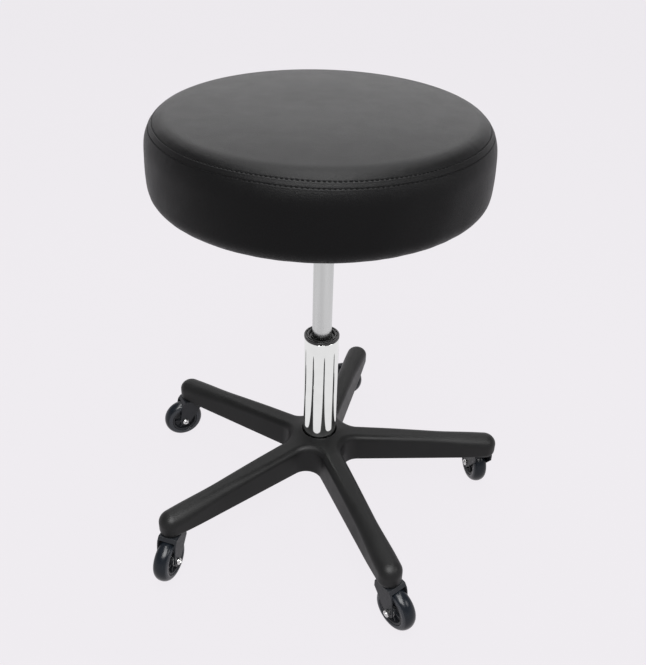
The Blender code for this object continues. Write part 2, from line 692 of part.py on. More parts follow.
fork = combined(fork, [("DIFFERENCE", axle_hole)])

nut_low = FORK_OUT + GAP
bolt = along_y(
    spun(
        [(0.0, nut_low + 0.0036), (AXLE_HEAD_R * 0.75, nut_low + 0.0034), (AXLE_HEAD_R, nut_low + 0.0018),
         (AXLE_HEAD_R, nut_low), (AXLE_R, nut_low), (AXLE_R, -0.0196), (0.0, -0.0196)], 12
    )
)
hexagon = [(NUT_R * math.cos(math.radians(60 * i)), NUT_R * math.sin(math.radians(60 * i))) for i in range(6)]
nut = along_y(combined(slab(hexagon, -0.0190, -nut_low), [("DIFFERENCE", drum(AXLE_R + GAP, -0.03, 0.0, steps=12))]))

core_profile = [
    (AXLE_R + GAP, 0.0114), (0.0085, 0.0114), (0.0115, 0.0045), (0.0180, 0.0102), (TYRE_IN - GAP, 0.0102),
    (TYRE_IN - GAP, -0.0102), (0.0180, -0.0102), (0.0115, -0.0045), (0.0085, -0.0114), (AXLE_R + GAP, -0.0114),
]
wheel_core = along_y(spun(core_profile, 20, closed=True))
tread = arc(TREAD_R, 0.0, WHEEL_R - TREAD_R, TYRE_HALF, 90, -90, 4)
tyre = along_y(spun([(TYRE_IN, TYRE_HALF)] + tread + [(TYRE_IN, -TYRE_HALF)], 32, closed=True))

for number, (at, swivel) in enumerate(zip(STEMS, SWIVEL_DEG), 1):
    turn = math.radians(swivel)
    axle = (at[0] + TRAIL * math.cos(turn), at[1] + TRAIL * math.sin(turn), WHEEL_R)
    for name, mesh, mat, place in (
        ("caster_stem", stem, STEEL, (*at, 0.0)),
        ("caster_grip_ring", grip_ring, STEEL, (*at, 0.0)),
        ("caster_fork", fork, PLASTIC, (*at, 0.0)),
        ("axle_bolt", bolt, CHROME, axle),
        ("axle_nut", nut, CHROME, axle),
        ("wheel_core", wheel_core, PLASTIC, axle),
        ("tyre", tyre, SMOKE, axle),
    ):
        ob = link(f"{name}_{number}", mesh, mat)
        ob.location = place
        ob.rotation_euler = (0, 0, turn)
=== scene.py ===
import math

import bmesh
import bpy
import numpy as np
from mathutils import Matrix, Vector


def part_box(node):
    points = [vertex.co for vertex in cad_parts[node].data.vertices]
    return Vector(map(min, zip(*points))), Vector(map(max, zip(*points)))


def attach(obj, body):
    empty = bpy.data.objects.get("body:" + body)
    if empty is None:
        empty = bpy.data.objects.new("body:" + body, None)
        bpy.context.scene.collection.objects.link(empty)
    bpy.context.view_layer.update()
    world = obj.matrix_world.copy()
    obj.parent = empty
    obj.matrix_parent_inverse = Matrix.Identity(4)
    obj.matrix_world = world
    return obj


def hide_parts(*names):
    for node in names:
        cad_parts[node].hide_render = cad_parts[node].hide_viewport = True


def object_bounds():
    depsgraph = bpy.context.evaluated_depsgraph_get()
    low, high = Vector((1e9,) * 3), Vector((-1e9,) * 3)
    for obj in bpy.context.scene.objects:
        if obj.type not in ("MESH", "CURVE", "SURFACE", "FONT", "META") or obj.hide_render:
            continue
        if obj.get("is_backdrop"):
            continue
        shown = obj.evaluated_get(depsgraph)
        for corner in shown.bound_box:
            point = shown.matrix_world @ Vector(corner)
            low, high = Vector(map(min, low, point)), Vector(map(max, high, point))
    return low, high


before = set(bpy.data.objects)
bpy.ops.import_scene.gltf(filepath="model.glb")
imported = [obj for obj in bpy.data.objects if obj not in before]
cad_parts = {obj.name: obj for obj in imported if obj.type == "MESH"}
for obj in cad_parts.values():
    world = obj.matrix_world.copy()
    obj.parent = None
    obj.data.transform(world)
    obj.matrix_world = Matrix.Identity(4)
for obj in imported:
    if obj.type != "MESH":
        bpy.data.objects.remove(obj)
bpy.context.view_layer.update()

scene = bpy.context.scene
scene.view_settings.view_transform = "Standard"
MM = 0.001
TAU = 2 * math.pi

# ------------------------------------------------------------ frame dimensions
SEAT_R, SEAT_TOP, SEAT_BOTTOM = 0.2156, 0.6288, 0.5126
SEAT_X = -0.0077
SEAT_FLAT_R, SEAT_CROWN = 0.040, 0.008
SHOULDER_W, SHOULDER_H = 0.031, 0.039
HEEL_W, HEEL_H = 0.031, 0.0246
FOLD_R, DUST_R = 0.150, 0.165
DUST_TOP, DUST_LOW = 0.5123, 0.5110
PLATE_LOW = 0.5077
LEVER_DIR = math.radians(45.0)
LEVER_PIVOT_U, LEVER_Z, LEVER_R = 0.016, 0.4965, 0.0045
TUBE_R, TUBE_R_LOW, TUBE_BORE = 0.0250, 0.0242, 0.0226
TUBE_TOP, TUBE_TAPER_TOP, TUBE_BOTTOM = 0.2928, 0.1350, 0.0560
BUSH_FLANGE_R, BUSH_TOP, BUSH_LOW = 0.0254, 0.2973, 0.1835
BUSH_R, BUSH_BORE = 0.0223, 0.0143
CYL_R, CYL_TIP_R = 0.0140, 0.0132
CYL_LOW, CYL_TAPER, CYL_TOP = 0.2430, 0.4495, 0.4850
ARMS, ARM_A0 = 5, math.radians(3.5)
TIP_R, TIP_END = 0.0173, 0.2815
ROOT_S, ROOT_HALF, ROOT_FILLET = 0.050, 0.0192, 0.024
ARM_TOP_ROOT, ARM_TOP_TIP = 0.1170, 0.1018
ARM_LOW_ROOT, ARM_LOW_TIP = 0.0756, 0.0715
HUB_RISE, HUB_RISE_R = 0.0195, 0.060
WALL, ROOF = 0.0045, 0.0090
HUB_BORE, HUB_THROAT = 0.0266, 0.0252
HUB_BOSS_R, HUB_BOSS_LOW = 0.037, 0.0690
CROSS_RIBS = (0.115, 0.180)
STEM_AT, TRAIL = 0.262, 0.020
SWIVEL_DEG = (103.0, 165.0, 206.0, 251.5, 309.0)
WHEEL_R, TYRE_HALF, TYRE_IN, TREAD_R = 0.032, 0.0110, 0.0215, 0.0240
FORK_IN, FORK_OUT = 0.0120, 0.0145
FORK_TOP, FORK_SLOT_TOP, FORK_BOSS_TOP = 0.0700, 0.0660, 0.0712
FORK_CHEEK_TOP, FORK_BACK, FORK_FRONT, FORK_END_R = 0.0575, -0.0105, 0.0205, 0.0082


# ------------------------------------------------------------ materials
class Finish:
    """A Principled material with helpers for the textures that drive it."""

    def __init__(self, name, color, rough, metal=0.0, spec=0.5):
        self.mat = bpy.data.materials.new(name)
        self.mat.use_nodes = True
        self.tree = self.mat.node_tree
        self.shader = self.tree.nodes["Principled BSDF"]
        self.set("Base Color", (*color, 1.0))
        self.set("Roughness", rough)
        self.set("Metallic", metal)
        self.set("Specular IOR Level", spec)
        self.mat.diffuse_color = (*color, 1.0)
        self.where = self.tree.nodes.new("ShaderNodeTexCoord").outputs["Object"]
        self.normal = None

    def set(self, socket, value):
        self.shader.inputs[socket].default_value = value

    def stretched(self, scale):
        node = self.tree.nodes.new("ShaderNodeMapping")
        node.inputs["Scale"].default_value = scale
        self.tree.links.new(self.where, node.inputs["Vector"])
        return node.outputs["Vector"]

    def noise(self, scale, detail=2.0, rough=0.5, stretch=None, warp=0.0):
        node = self.tree.nodes.new("ShaderNodeTexNoise")
        node.inputs["Scale"].default_value = scale
        node.inputs["Detail"].default_value = detail
        node.inputs["Roughness"].default_value = rough
        node.inputs["Distortion"].default_value = warp
        self.tree.links.new(self.stretched(stretch) if stretch else self.where, node.inputs["Vector"])
        return node.outputs["Fac"]

    def cells(self, scale, feature="F1", stretch=None):
        node = self.tree.nodes.new("ShaderNodeTexVoronoi")
        node.feature = feature
        node.inputs["Scale"].default_value = scale
        self.tree.links.new(self.stretched(stretch) if stretch else self.where, node.inputs["Vector"])
        return node.outputs["Distance"]

    def wave(self, scale, axis="Z", warp=0.0):
        node = self.tree.nodes.new("ShaderNodeTexWave")
        node.bands_direction = axis
        node.inputs["Scale"].default_value = scale
        node.inputs["Distortion"].default_value = warp
        self.tree.links.new(self.where, node.inputs["Vector"])
        return node.outputs["Fac"]

    def remap(self, value, low, high, to_low, to_high):
        node = self.tree.nodes.new("ShaderNodeMapRange")
        for socket, number in zip(("From Min", "From Max", "To Min", "To Max"), (low, high, to_low, to_high)):
            node.inputs[socket].default_value = number
        self.tree.links.new(value, node.inputs["Value"])
        return node.outputs["Result"]

    def tint(self, value, low, high):
        node = self.tree.nodes.new("ShaderNodeValToRGB")
        node.color_ramp.elements[0].color = (*low, 1.0)
        node.color_ramp.elements[1].color = (*high, 1.0)
        node.color_ramp.elements[0].position = 0.3
        node.color_ramp.elements[1].position = 0.7
        self.tree.links.new(value, node.inputs["Fac"])
        self.tree.links.new(node.outputs["Color"], self.shader.inputs["Base Color"])
        return self

    def roughen(self, value, low, high):
        self.tree.links.new(self.remap(value, 0.3, 0.7, low, high), self.shader.inputs["Roughness"])
        return self

    def bump(self, height, strength, distance):
        node = self.tree.nodes.new("ShaderNodeBump")
        node.inputs["Strength"].default_value = strength
        node.inputs["Distance"].default_value = distance
        self.tree.links.new(height, node.inputs["Height"])
        if self.normal:
            self.tree.links.new(self.normal, node.inputs["Normal"])
        self.normal = node.outputs["Normal"]
        self.tree.links.new(self.normal, self.shader.inputs["Normal"])
        return self


leather = Finish("black_leatherette", (0.0020, 0.0020, 0.0021), 0.41, spec=0.10)
leather.tint(leather.noise(9.0, 3.0), (0.0018, 0.0018, 0.0019), (0.0022, 0.0022, 0.0023))
leather.roughen(leather.noise(35.0, 4.0, 0.6), 0.395, 0.435)
leather.bump(leather.noise(210.0, 3.0, 0.55, warp=0.4), 0.05, 0.0006)
leather.bump(leather.remap(leather.cells(680.0, "DISTANCE_TO_EDGE"), 0.0, 0.32, 0.0, 1.0), 0.36, 0.00030)
leather.bump(leather.noise(2600.0, 2.0), 0.10, 0.0001)

thread = Finish("black_thread", (0.0030, 0.0030, 0.0031), 0.75, spec=0.06)
thread.tint(thread.noise(700.0, 2.0), (0.0022, 0.0022, 0.0023), (0.0040, 0.0040, 0.0042))
thread.bump(thread.wave(900.0, "DIAGONAL", 1.0), 0.5, 0.0001)

nylon = Finish("black_nylon", (0.0064, 0.0065, 0.0065), 0.42, spec=0.175)
nylon.tint(nylon.noise(30.0, 4.0, 0.6), (0.0061, 0.0062, 0.0062), (0.0075, 0.0076, 0.0076))
nylon.roughen(nylon.noise(60.0, 4.0, 0.6), 0.38, 0.46)
nylon.bump(nylon.cells(1150.0, "SMOOTH_F1"), 0.22, 0.00022)
nylon.bump(nylon.noise(420.0, 3.0, 0.6), 0.12, 0.0004)

plastic = Finish("black_plastic", (0.0085, 0.0095, 0.0114), 0.42, spec=0.28)
plastic.tint(plastic.noise(120.0, 3.0), (0.0075, 0.0084, 0.0101), (0.0096, 0.0107, 0.0128))
plastic.roughen(plastic.noise(300.0, 3.0), 0.36, 0.48)
plastic.bump(plastic.noise(1500.0, 2.0), 0.14, 0.00015)

bushing_black = Finish("bushing_black", (0.012, 0.012, 0.012), 0.34)
bushing_black.tint(bushing_black.noise(200.0, 3.0), (0.0105, 0.0105, 0.0108), (0.0150, 0.0150, 0.0154))
bushing_black.roughen(bushing_black.noise(500.0, 3.0), 0.28, 0.40)
bushing_black.bump(bushing_black.wave(600.0, "Z", 0.4), 0.05, 0.0001)

chrome = Finish("chrome", (0.86, 0.885, 0.853), 0.035, metal=1.0)
chrome.tint(chrome.noise(60.0, 4.0, 0.6), (0.84, 0.865, 0.833), (0.88, 0.905, 0.873))
chrome.roughen(chrome.noise(90.0, 5.0, 0.65), 0.02, 0.06)
chrome.bump(chrome.noise(25.0, 2.0), 0.015, 0.001)

satin = Finish("satin_steel", (0.60, 0.615, 0.60), 0.24, metal=1.0)
satin.tint(satin.noise(105.0, 1.0, 0.4, (1.0, 1.0, 0.02)), (0.525, 0.538, 0.525), (0.650, 0.667, 0.650))
satin.roughen(satin.noise(180.0, 3.0, 0.6, (1.0, 1.0, 0.12)), 0.21, 0.28)

zinc = Finish("bright_zinc", (0.62, 0.62, 0.61), 0.24, metal=1.0)
zinc.tint(zinc.noise(300.0, 3.0), (0.56, 0.56, 0.55), (0.68, 0.68, 0.67))
zinc.roughen(zinc.noise(500.0, 3.0), 0.18, 0.32)

black_steel = Finish("black_steel", (0.016, 0.016, 0.017), 0.38, spec=0.5)
black_steel.tint(black_steel.noise(80.0, 4.0), (0.0135, 0.0135, 0.014), (0.020, 0.020, 0.021))
black_steel.roughen(black_steel.noise(240.0, 3.0), 0.32, 0.46)
black_steel.bump(black_steel.noise(700.0, 3.0), 0.12, 0.0002)

cloth = Finish("dust_cloth", (0.012, 0.012, 0.012), 0.92, spec=0.15)
cloth.tint(cloth.noise(1200.0, 2.0), (0.007, 0.007, 0.007), (0.020, 0.020, 0.020))
cloth.bump(cloth.cells(900.0, "F1", (1.0, 1.0, 0.2)), 0.5, 0.0003)
cloth.bump(cloth.noise(300.0, 4.0, 0.7), 0.4, 0.0004)

foam = Finish("foam", (0.72, 0.66, 0.45), 0.95, spec=0.2)
foam.tint(foam.noise(120.0, 3.0), (0.66, 0.60, 0.40), (0.76, 0.70, 0.50))
foam.bump(foam.cells(900.0), 0.5, 0.0005)

wood = Finish("plywood", (0.50, 0.35, 0.20), 0.70, spec=0.3)
wood.tint(wood.noise(40.0, 4.0, 0.6, (1.0, 6.0, 30.0)), (0.40, 0.27, 0.15), (0.58, 0.42, 0.25))
wood.bump(wood.noise(200.0, 4.0, 0.6, (1.0, 8.0, 1.0)), 0.3, 0.0003)

rubber = Finish("rubber", (0.02, 0.02, 0.02), 0.75, spec=0.3)
rubber.tint(rubber.noise(200.0, 3.0), (0.016, 0.016, 0.016), (0.026, 0.026, 0.026))
rubber.bump(rubber.noise(600.0, 3.0), 0.2, 0.0002)

smoke = Finish("smoke_tyre", (0.0052, 0.0068, 0.0092), 0.22, spec=0.24)
# The lighter side-wall ring, from 8 mm off the tyre's middle plane outwards, is a painted highlight. It stands in for
# the lit clear rim of the tyre.
across = smoke.tree.nodes.new("ShaderNodeSeparateXYZ")
painted_sidewall_highlight = smoke.tree.nodes.new("ShaderNodeMath")
painted_sidewall_highlight.operation = "ABSOLUTE"
smoke.tree.links.new(smoke.where, across.inputs["Vector"])
smoke.tree.links.new(across.outputs["Y"], painted_sidewall_highlight.inputs[0])
smoke.tint(smoke.remap(painted_sidewall_highlight.outputs["Value"], 0.0080, 0.0112, 0.0, 1.0), (0.0048, 0.0064, 0.0088), (0.026, 0.028, 0.032))
smoke.roughen(smoke.noise(140.0, 4.0, 0.6), 0.18, 0.27)
smoke.bump(smoke.noise(160.0, 3.0), 0.02, 0.0005)


# ------------------------------------------------------------ mesh helpers
def mesh_of(name, verts, faces):
    mesh = bpy.data.meshes.new(name)
    mesh.from_pydata([tuple(v) for v in verts], [], [tuple(f) for f in faces])
    mesh.update()
    return mesh


def quad_mesh(name, verts, quads, tris=()):
    """A mesh from number arrays: verts n x 3, quads m x 4, tris k x 3."""
    verts = np.asarray(verts, np.float32)
    quads = np.asarray(quads, np.int32).reshape(-1, 4)
    tris = np.asarray(tris, np.int32).reshape(-1, 3)
    mesh = bpy.data.meshes.new(name)
    mesh.vertices.add(len(verts))
    mesh.vertices.foreach_set("co", verts.ravel())
    mesh.loops.add(quads.size + tris.size)
    mesh.loops.foreach_set("vertex_index", np.concatenate([quads.ravel(), tris.ravel()]).astype(np.int32))
    mesh.polygons.add(len(quads) + len(tris))
    starts = np.concatenate([4 * np.arange(len(quads)), quads.size + 3 * np.arange(len(tris))])
    mesh.polygons.foreach_set("loop_start", starts.astype(np.int32))
    mesh.update(calc_edges=True)
    mesh.validate()
    return mesh


def tidy(mesh, weld=1e-6, turn=True):
    bm = bmesh.new()
    bm.from_mesh(mesh)
    bmesh.ops.remove_doubles(bm, verts=bm.verts, dist=weld)
    bmesh.ops.dissolve_degenerate(bm, edges=bm.edges, dist=1e-7)
    if turn:
        bmesh.ops.recalc_face_normals(bm, faces=bm.faces)
        if bm.calc_volume(signed=True) < 0:
            bmesh.ops.reverse_faces(bm, faces=bm.faces)
    bm.to_mesh(mesh)
    bm.free()
    return mesh


def shown(name, mesh, finish, smooth_deg=180.0):
    """A scene object with smooth shading below an edge angle."""
    ob = bpy.data.objects.new(name, mesh)
    scene.collection.objects.link(ob)
    mesh.materials.clear()
    mesh.materials.append(finish.mat)
    mesh.shade_smooth()
    if smooth_deg < 180:
        mesh.set_sharp_from_angle(angle=math.radians(smooth_deg))
    return ob


def settled(ob):
    """The object's evaluated mesh, with the object removed."""
    graph = bpy.context.evaluated_depsgraph_get()
    graph.update()
    mesh = bpy.data.meshes.new_from_object(ob.evaluated_get(graph), depsgraph=graph)
    bpy.data.objects.remove(ob, do_unlink=True)
    return mesh


def work(mesh):
    ob = bpy.data.objects.new("work", mesh)
    scene.collection.objects.link(ob)
    return ob


def combined(mesh, steps):
    for operation, other in steps:
        ob, tool = work(mesh), work(other)
        mod = ob.modifiers.new("join", "BOOLEAN")
        mod.operation, mod.solver, mod.object = operation, "EXACT", tool
        mesh = settled(ob)
        bpy.data.objects.remove(tool, do_unlink=True)
    return mesh


def bevelled(mesh, width, segments=3, angle=32.0):
    ob = work(mesh)
    mod = ob.modifiers.new("edges", "BEVEL")
    mod.width, mod.segments = width, segments
    mod.limit_method, mod.angle_limit = "ANGLE", math.radians(angle)
    mod.use_clamp_overlap = True
    mod.harden_normals = False
    mod.miter_outer = "MITER_ARC"
    return settled(ob)


def soft_flats(ob):
    """Keeps large flat faces flat beside small rounded edges."""
    mod = ob.modifiers.new("flats", "WEIGHTED_NORMAL")
    mod.mode, mod.weight, mod.keep_sharp = "FACE_AREA", 50, True
    return ob


def soften(points, closed=False, count=4):
    """Turns the corners of a polyline of (x, y, radius) into arcs."""
    out, n = [], len(points)
    for i, (x, y, rad) in enumerate(points):
        if rad <= 0 or (not closed and i in (0, n - 1)):
            out.append((x, y))
            continue
        p, a, b = (np.array(q[:2], float) for q in (points[i], points[i - 1], points[(i + 1) % n]))
        da, db = a - p, b - p
        la, lb = np.linalg.norm(da), np.linalg.norm(db)
        da, db = da / la, db / lb
        half = math.acos(max(-1.0, min(1.0, float(da @ db)))) / 2
        if half > math.pi / 2 - 1e-3:
            out.append((x, y))
            continue
        reach = min(rad / math.tan(half), 0.49 * la, 0.49 * lb)
        bis = (da + db) / np.linalg.norm(da + db)
        c = p + bis * (reach / math.cos(half))
        r = reach * math.tan(half)
        s, e = p + da * reach - c, p + db * reach - c
        a0, a1 = math.atan2(s[1], s[0]), math.atan2(e[1], e[0])
        a1 = a0 + (a1 - a0 + math.pi) % TAU - math.pi
        for k in range(count + 1):
            t = a0 + (a1 - a0) * k / count
            out.append((c[0] + r * math.cos(t), c[1] + r * math.sin(t)))
    return out


def turned(name, profile, steps=64, closed=False):
    """A surface turned about Z from (radius, z) points."""
    verts, rings = [], []
    for r, z in profile:
        if r < 1e-7:
            rings.append([len(verts)])
            verts.append((0.0, 0.0, z))
        else:
            rings.append(list(range(len(verts), len(verts) + steps)))
            verts += [(r * math.cos(TAU * k / steps), r * math.sin(TAU * k / steps), z) for k in range(steps)]
    faces = []
    pairs = list(zip(rings, rings[1:])) + ([(rings[-1], rings[0])] if closed else [])
    for a, b in pairs:
        for k in range(steps):
            j = (k + 1) % steps
            if len(a) == 1 and len(b) == 1:
                continue
            if len(a) == 1:
                faces.append((a[0], b[k], b[j]))
            elif len(b) == 1:
                faces.append((a[k], b[0], a[j]))
            else:
                faces.append((a[k], b[k], b[j], a[j]))
    return tidy(mesh_of(name, verts, faces))


def prism(outline, low, high):
    """An outline of (x, y) points between two heights."""
    n = len(outline)
    verts = [(x, y, low) for x, y in outline] + [(x, y, high) for x, y in outline]
    faces = [tuple(range(n))[::-1], tuple(range(n, 2 * n))]
    faces += [(i, (i + 1) % n, n + (i + 1) % n, n + i) for i in range(n)]
    return tidy(mesh_of("prism", verts, faces))


def box(size, centre):
    x, y, z = (s / 2 for s in size)
    mesh = prism([(-x, -y), (x, -y), (x, y), (-x, y)], -z, z)
    mesh.transform(Matrix.Translation(centre))
    return mesh


def swept(path, radius, sides=20, closed_ends=True):
    """A round tube along points, with rounded ends."""
    path = [Vector(p) for p in path]
    radii = [radius] * len(path)
    if closed_ends:
        first = (path[0] - path[1]).normalized()
        last = (path[-1] - path[-2]).normalized()
        cap = [(math.sin(a), math.cos(a)) for a in np.radians((25, 50, 72))]
        head = [(path[0] + first * radius * s, radius * c) for s, c in cap][::-1]
        tail = [(path[-1] + last * radius * s, radius * c) for s, c in cap]
        radii = [r for _, r in head] + radii + [r for _, r in tail]
        ends = path[0] + first * radius, path[-1] + last * radius
        path = [p for p, _ in head] + path + [p for p, _ in tail]
    verts, faces = [], []
    side = Vector((0, 1, 0))
    for i, (p, r) in enumerate(zip(path, radii)):
        along = (path[min(i + 1, len(path) - 1)] - path[max(i - 1, 0)]).normalized()
        side = (side - along * side.dot(along)).normalized()
        up = along.cross(side)
        verts += [p + (side * math.cos(TAU * k / sides) + up * math.sin(TAU * k / sides)) * r for k in range(sides)]
    for i in range(len(path) - 1):
        for k in range(sides):
            j = (k + 1) % sides
            faces.append((i * sides + k, i * sides + j, (i + 1) * sides + j, (i + 1) * sides + k))
    if closed_ends:
        base, top = len(verts), len(verts) + 1
        verts += list(ends)
        last_ring = (len(path) - 1) * sides
        for k in range(sides):
            j = (k + 1) % sides
            faces.append((base, j, k))
            faces.append((top, last_ring + k, last_ring + j))
    return tidy(mesh_of("swept", verts, faces))


def gathered(name, meshes):
    """Several meshes as one, left as separate shells."""
    bm = bmesh.new()
    for mesh in meshes:
        bm.from_mesh(mesh)
    out = bpy.data.meshes.new(name)
    bm.to_mesh(out)
    bm.free()
    return out


def along_y(mesh):
    mesh.transform(Matrix.Rotation(-math.pi / 2, 4, "X"))
    return mesh


def piece(ob, body, *nodes, slot=None):
    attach(ob, body)
    if nodes:
        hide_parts(*nodes)
    return ob


def harmonics(seed, low, high, count):
    """A smooth wave round a full turn, made of random harmonics, with unit spread."""
    rng = np.random.default_rng(seed)
    orders = rng.integers(low, high + 1, count)
    phases = rng.uniform(0, TAU, count)
    weights = rng.uniform(0.5, 1.0, count)
    weights /= math.sqrt((weights**2).sum() / 2)

    def value(theta):
        return sum(w * np.cos(n * theta + p) for n, p, w in zip(orders, phases, weights))

    return value


def ripples(seed, length_low, length_high, count):
    """A smooth field over a plane, made of random waves, with unit spread."""
    rng = np.random.default_rng(seed)
    lengths = rng.uniform(length_low, length_high, count)
    turns, phases = rng.uniform(0, TAU, count), rng.uniform(0, TAU, count)

    def value(x, y):
        total = sum(
            np.cos(TAU / l * (x * math.cos(a) + y * math.sin(a)) + p) for l, a, p in zip(lengths, turns, phases)
        )
        return total / math.sqrt(count / 2)

    return value


# ------------------------------------------------------------ seat cover
STITCHES = 236
FINE, COARSE = 6 * STITCHES, 3 * STITCHES // 2


def seat_section():
    """The cushion's half section from the top centre, round the heel, to the fold underneath."""
    shoulder_z = SEAT_TOP - SEAT_CROWN - SHOULDER_H
    inner = SEAT_R - SHOULDER_W
    points = [
        (r, SEAT_TOP - SEAT_CROWN * max(0.0, (r - SEAT_FLAT_R) / (inner - SEAT_FLAT_R)) ** 2)
        for r in np.linspace(0, inner, 300)
    ]
    for a in np.radians(np.linspace(90, 0, 140))[1:]:
        points.append((inner + SHOULDER_W * math.cos(a), shoulder_z + SHOULDER_H * math.sin(a)))
    for a in np.radians(np.linspace(0, -90, 120)):
        points.append((SEAT_R - HEEL_W + HEEL_W * math.cos(a), SEAT_BOTTOM + HEEL_H + HEEL_H * math.sin(a)))
    points.append((FOLD_R, SEAT_BOTTOM))
    points = np.array(points)
    step = np.hypot(*np.diff(points, axis=0).T)
    far = np.concatenate([[0], np.cumsum(step)])
    s = np.arange(0, far[-1], 0.00025)
    r, z = np.interp(s, far, points[:, 0]), np.interp(s, far, points[:, 1])
    reach = 48
    kernel = np.exp(-0.5 * (np.arange(-reach, reach + 1) / 12.0) ** 2)
    kernel /= kernel.sum()
    r, z = (np.convolve(np.pad(v, reach, mode="reflect", reflect_type="odd"), kernel, mode="valid") for v in (r, z))
    r = r + 0.0011 * np.exp(-(((z - 0.556) / 0.026) ** 2)) * (r > 0.19)
    tr, tz = np.gradient(r), np.gradient(z)
    length = np.hypot(tr, tz)
    return s, r, z, -tz / length, tr / length


SEC_S, SEC_R, SEC_Z, SEC_NR, SEC_NZ = seat_section()
outer_half = SEC_S > 0.15
S_UPPER = float(np.interp(-(SEAT_BOTTOM + 0.0983), -SEC_Z[outer_half], SEC_S[outer_half]))
S_LOWER = S_UPPER + 0.0074
S_END = float(SEC_S[-1])
EDGE = 0.0005  # roll of the leather at the joining seam

pucker_top, pucker_band = harmonics(3, 34, 120, 26), harmonics(5, 30, 105, 26)
heel_folds, under_folds = harmonics(7, 18, 60, 18), harmonics(11, 30, 58, 14)
swell_top, swell_band = ripples(13, 0.09, 0.20, 9), ripples(17, 0.07, 0.16, 9)
seam_wander = harmonics(19, 3, 9, 6)


def relief(s, theta):
    """How far the leather stands off the smooth section: seams, pillows, puckers and slack."""
    x, y = s - S_UPPER, s - S_LOWER
    phase = STITCHES * theta
    pull = np.clip(0.5 + 0.9 * np.cos(phase), 0.0, 1.0)
    out = -np.exp(-((x / (0.75 * MM)) ** 2)) * (0.22 + 0.60 * pull) * MM
    out = out + 0.22 * MM * np.exp(-(((x + 6.0 * MM) / (4.6 * MM)) ** 2))
    out = out + 0.24 * MM * (0.75 - 0.25 * np.cos(phase)) * np.exp(-(((x - 1.7 * MM) / (0.9 * MM)) ** 2))
    strip = np.clip(x / (S_LOWER - S_UPPER), 0.0, 1.0)
    out = out + 0.16 * MM * np.sin(math.pi * strip) ** 0.7
    out = out + 0.10 * MM * (0.7 - 0.3 * np.cos(phase + 0.8)) * np.exp(-(((y - 1.9 * MM) / (0.9 * MM)) ** 2))
    out = out - 0.22 * MM * pull * np.exp(-(((y - 0.5 * MM) / (0.8 * MM)) ** 2))
    out = out + 0.08 * MM * np.cos(phase) * np.exp(-np.abs(x) / (2.4 * MM))
    out = out + 0.05 * MM * np.cos(phase + 0.8) * np.exp(-np.abs(y) / (2.2 * MM))
    out = out + 0.030 * MM * pucker_top(theta) * np.exp(-(((x + 5.0 * MM) / (7.0 * MM)) ** 2))
    out = out + 0.030 * MM * pucker_band(theta) * np.exp(-(((y - 6.0 * MM) / (9.0 * MM)) ** 2))
    r = np.interp(s, SEC_S, SEC_R)
    inner = np.clip((S_UPPER - 0.012 - s) / 0.05, 0.0, 1.0)
    out = out + 0.045 * MM * swell_top(r * np.cos(theta), r * np.sin(theta)) * inner
    side = np.clip(y / 0.02, 0.0, 1.0) * np.clip((S_END - 0.055 - s) / 0.02, 0.0, 1.0)
    out = out + 0.16 * MM * (
        swell_band(SEAT_R * np.cos(theta) * 1.6 + s, SEAT_R * np.sin(theta) * 1.6 - s) * side
    )
    heel = np.clip((s - (S_END - 0.085)) / 0.04, 0.0, 1.0)
    out = out + 0.16 * MM * heel_folds(theta) * heel * (1 - 0.5 * heel)
    under = np.clip((s - (S_END - 0.040)) / 0.03, 0.0, 1.0)
    out = out + 0.22 * MM * under_folds(theta) * under
    near = np.minimum(np.abs(y), EDGE)
    out = out - (EDGE - np.sqrt(np.maximum(0.0, EDGE**2 - (EDGE - near) ** 2)))
    return out


def cover_points(s_list, count, depth=None):
    """Rings of points on the cover; a depth puts them under it, with no relief."""
    theta = TAU * np.arange(count)[None, :] / count
    s = np.asarray(s_list, float)[:, None] + 0 * theta
    rise = (0.5 - 1.4 * np.cos(theta) + 0.25 * seam_wander(theta)) * MM
    along = s - rise * np.exp(-(((s - S_LOWER) / 0.034) ** 2))
    lift = relief(s, theta) if depth is None else -depth + 0 * theta
    r = np.interp(along, SEC_S, SEC_R) + np.interp(along, SEC_S, SEC_NR) * lift
    z = np.interp(along, SEC_S, SEC_Z) + np.interp(along, SEC_S, SEC_NZ) * lift
    return np.stack([SEAT_X + r * np.cos(theta), r * np.sin(theta), z], axis=-1)


class Rings:
    """Rings of points joined into one skin; a ring may have four times the points of its neighbour."""

    def __init__(self):
        self.points, self.quads, self.tris, self.count, self.last = [], [], [], 0, None

    def pole(self, point):
        self.points.append(np.array([point]))
        self.step(np.array([self.count]))
        self.count += 1

    def add(self, rings):
        for ring in rings:
            self.points.append(ring)
            self.step(self.count + np.arange(len(ring)))
            self.count += len(ring)

    def step(self, new):
        old, self.last = self.last, new
        if old is None:
            return
        if len(old) == 1:
            self.tris.append(np.stack([np.full(len(new), old[0]), new, np.roll(new, -1)], 1))
        elif len(new) == 1:
            self.tris.append(np.stack([old, np.full(len(old), new[0]), np.roll(old, -1)], 1))
        elif len(old) == len(new):
            self.quads.append(np.stack([old, new, np.roll(new, -1), np.roll(old, -1)], 1))
        elif len(new) == 4 * len(old):
            a, b = old, np.roll(old, -1)
            c = [new[k::4] for k in range(4)] + [np.roll(new[0::4], -1)]
            for t in ((a, c[0], c[1]), (a, c[1], c[2]), (a, c[2], b), (b, c[2], c[3]), (b, c[3], c[4])):
                self.tris.append(np.stack(t, 1))
        else:
            a, b = new, np.roll(new, -1)
            c = [old[k::4] for k in range(4)] + [np.roll(old[0::4], -1)]
            for t in ((c[0], a, c[1]), (c[1], a, c[2]), (c[2], a, b), (c[2], b, c[3]), (c[3], b, c[4])):
                self.tris.append(np.stack(t, 1))

    def mesh(self, name):
        return quad_mesh(
            name,
            np.concatenate(self.points),
            np.concatenate(self.quads) if self.quads else [],
            np.concatenate(self.tris) if self.tris else [],
        )


def spaced(start, stop, step):
    return np.linspace(start, stop, max(2, int(round(abs(stop - start) / step)) + 1))


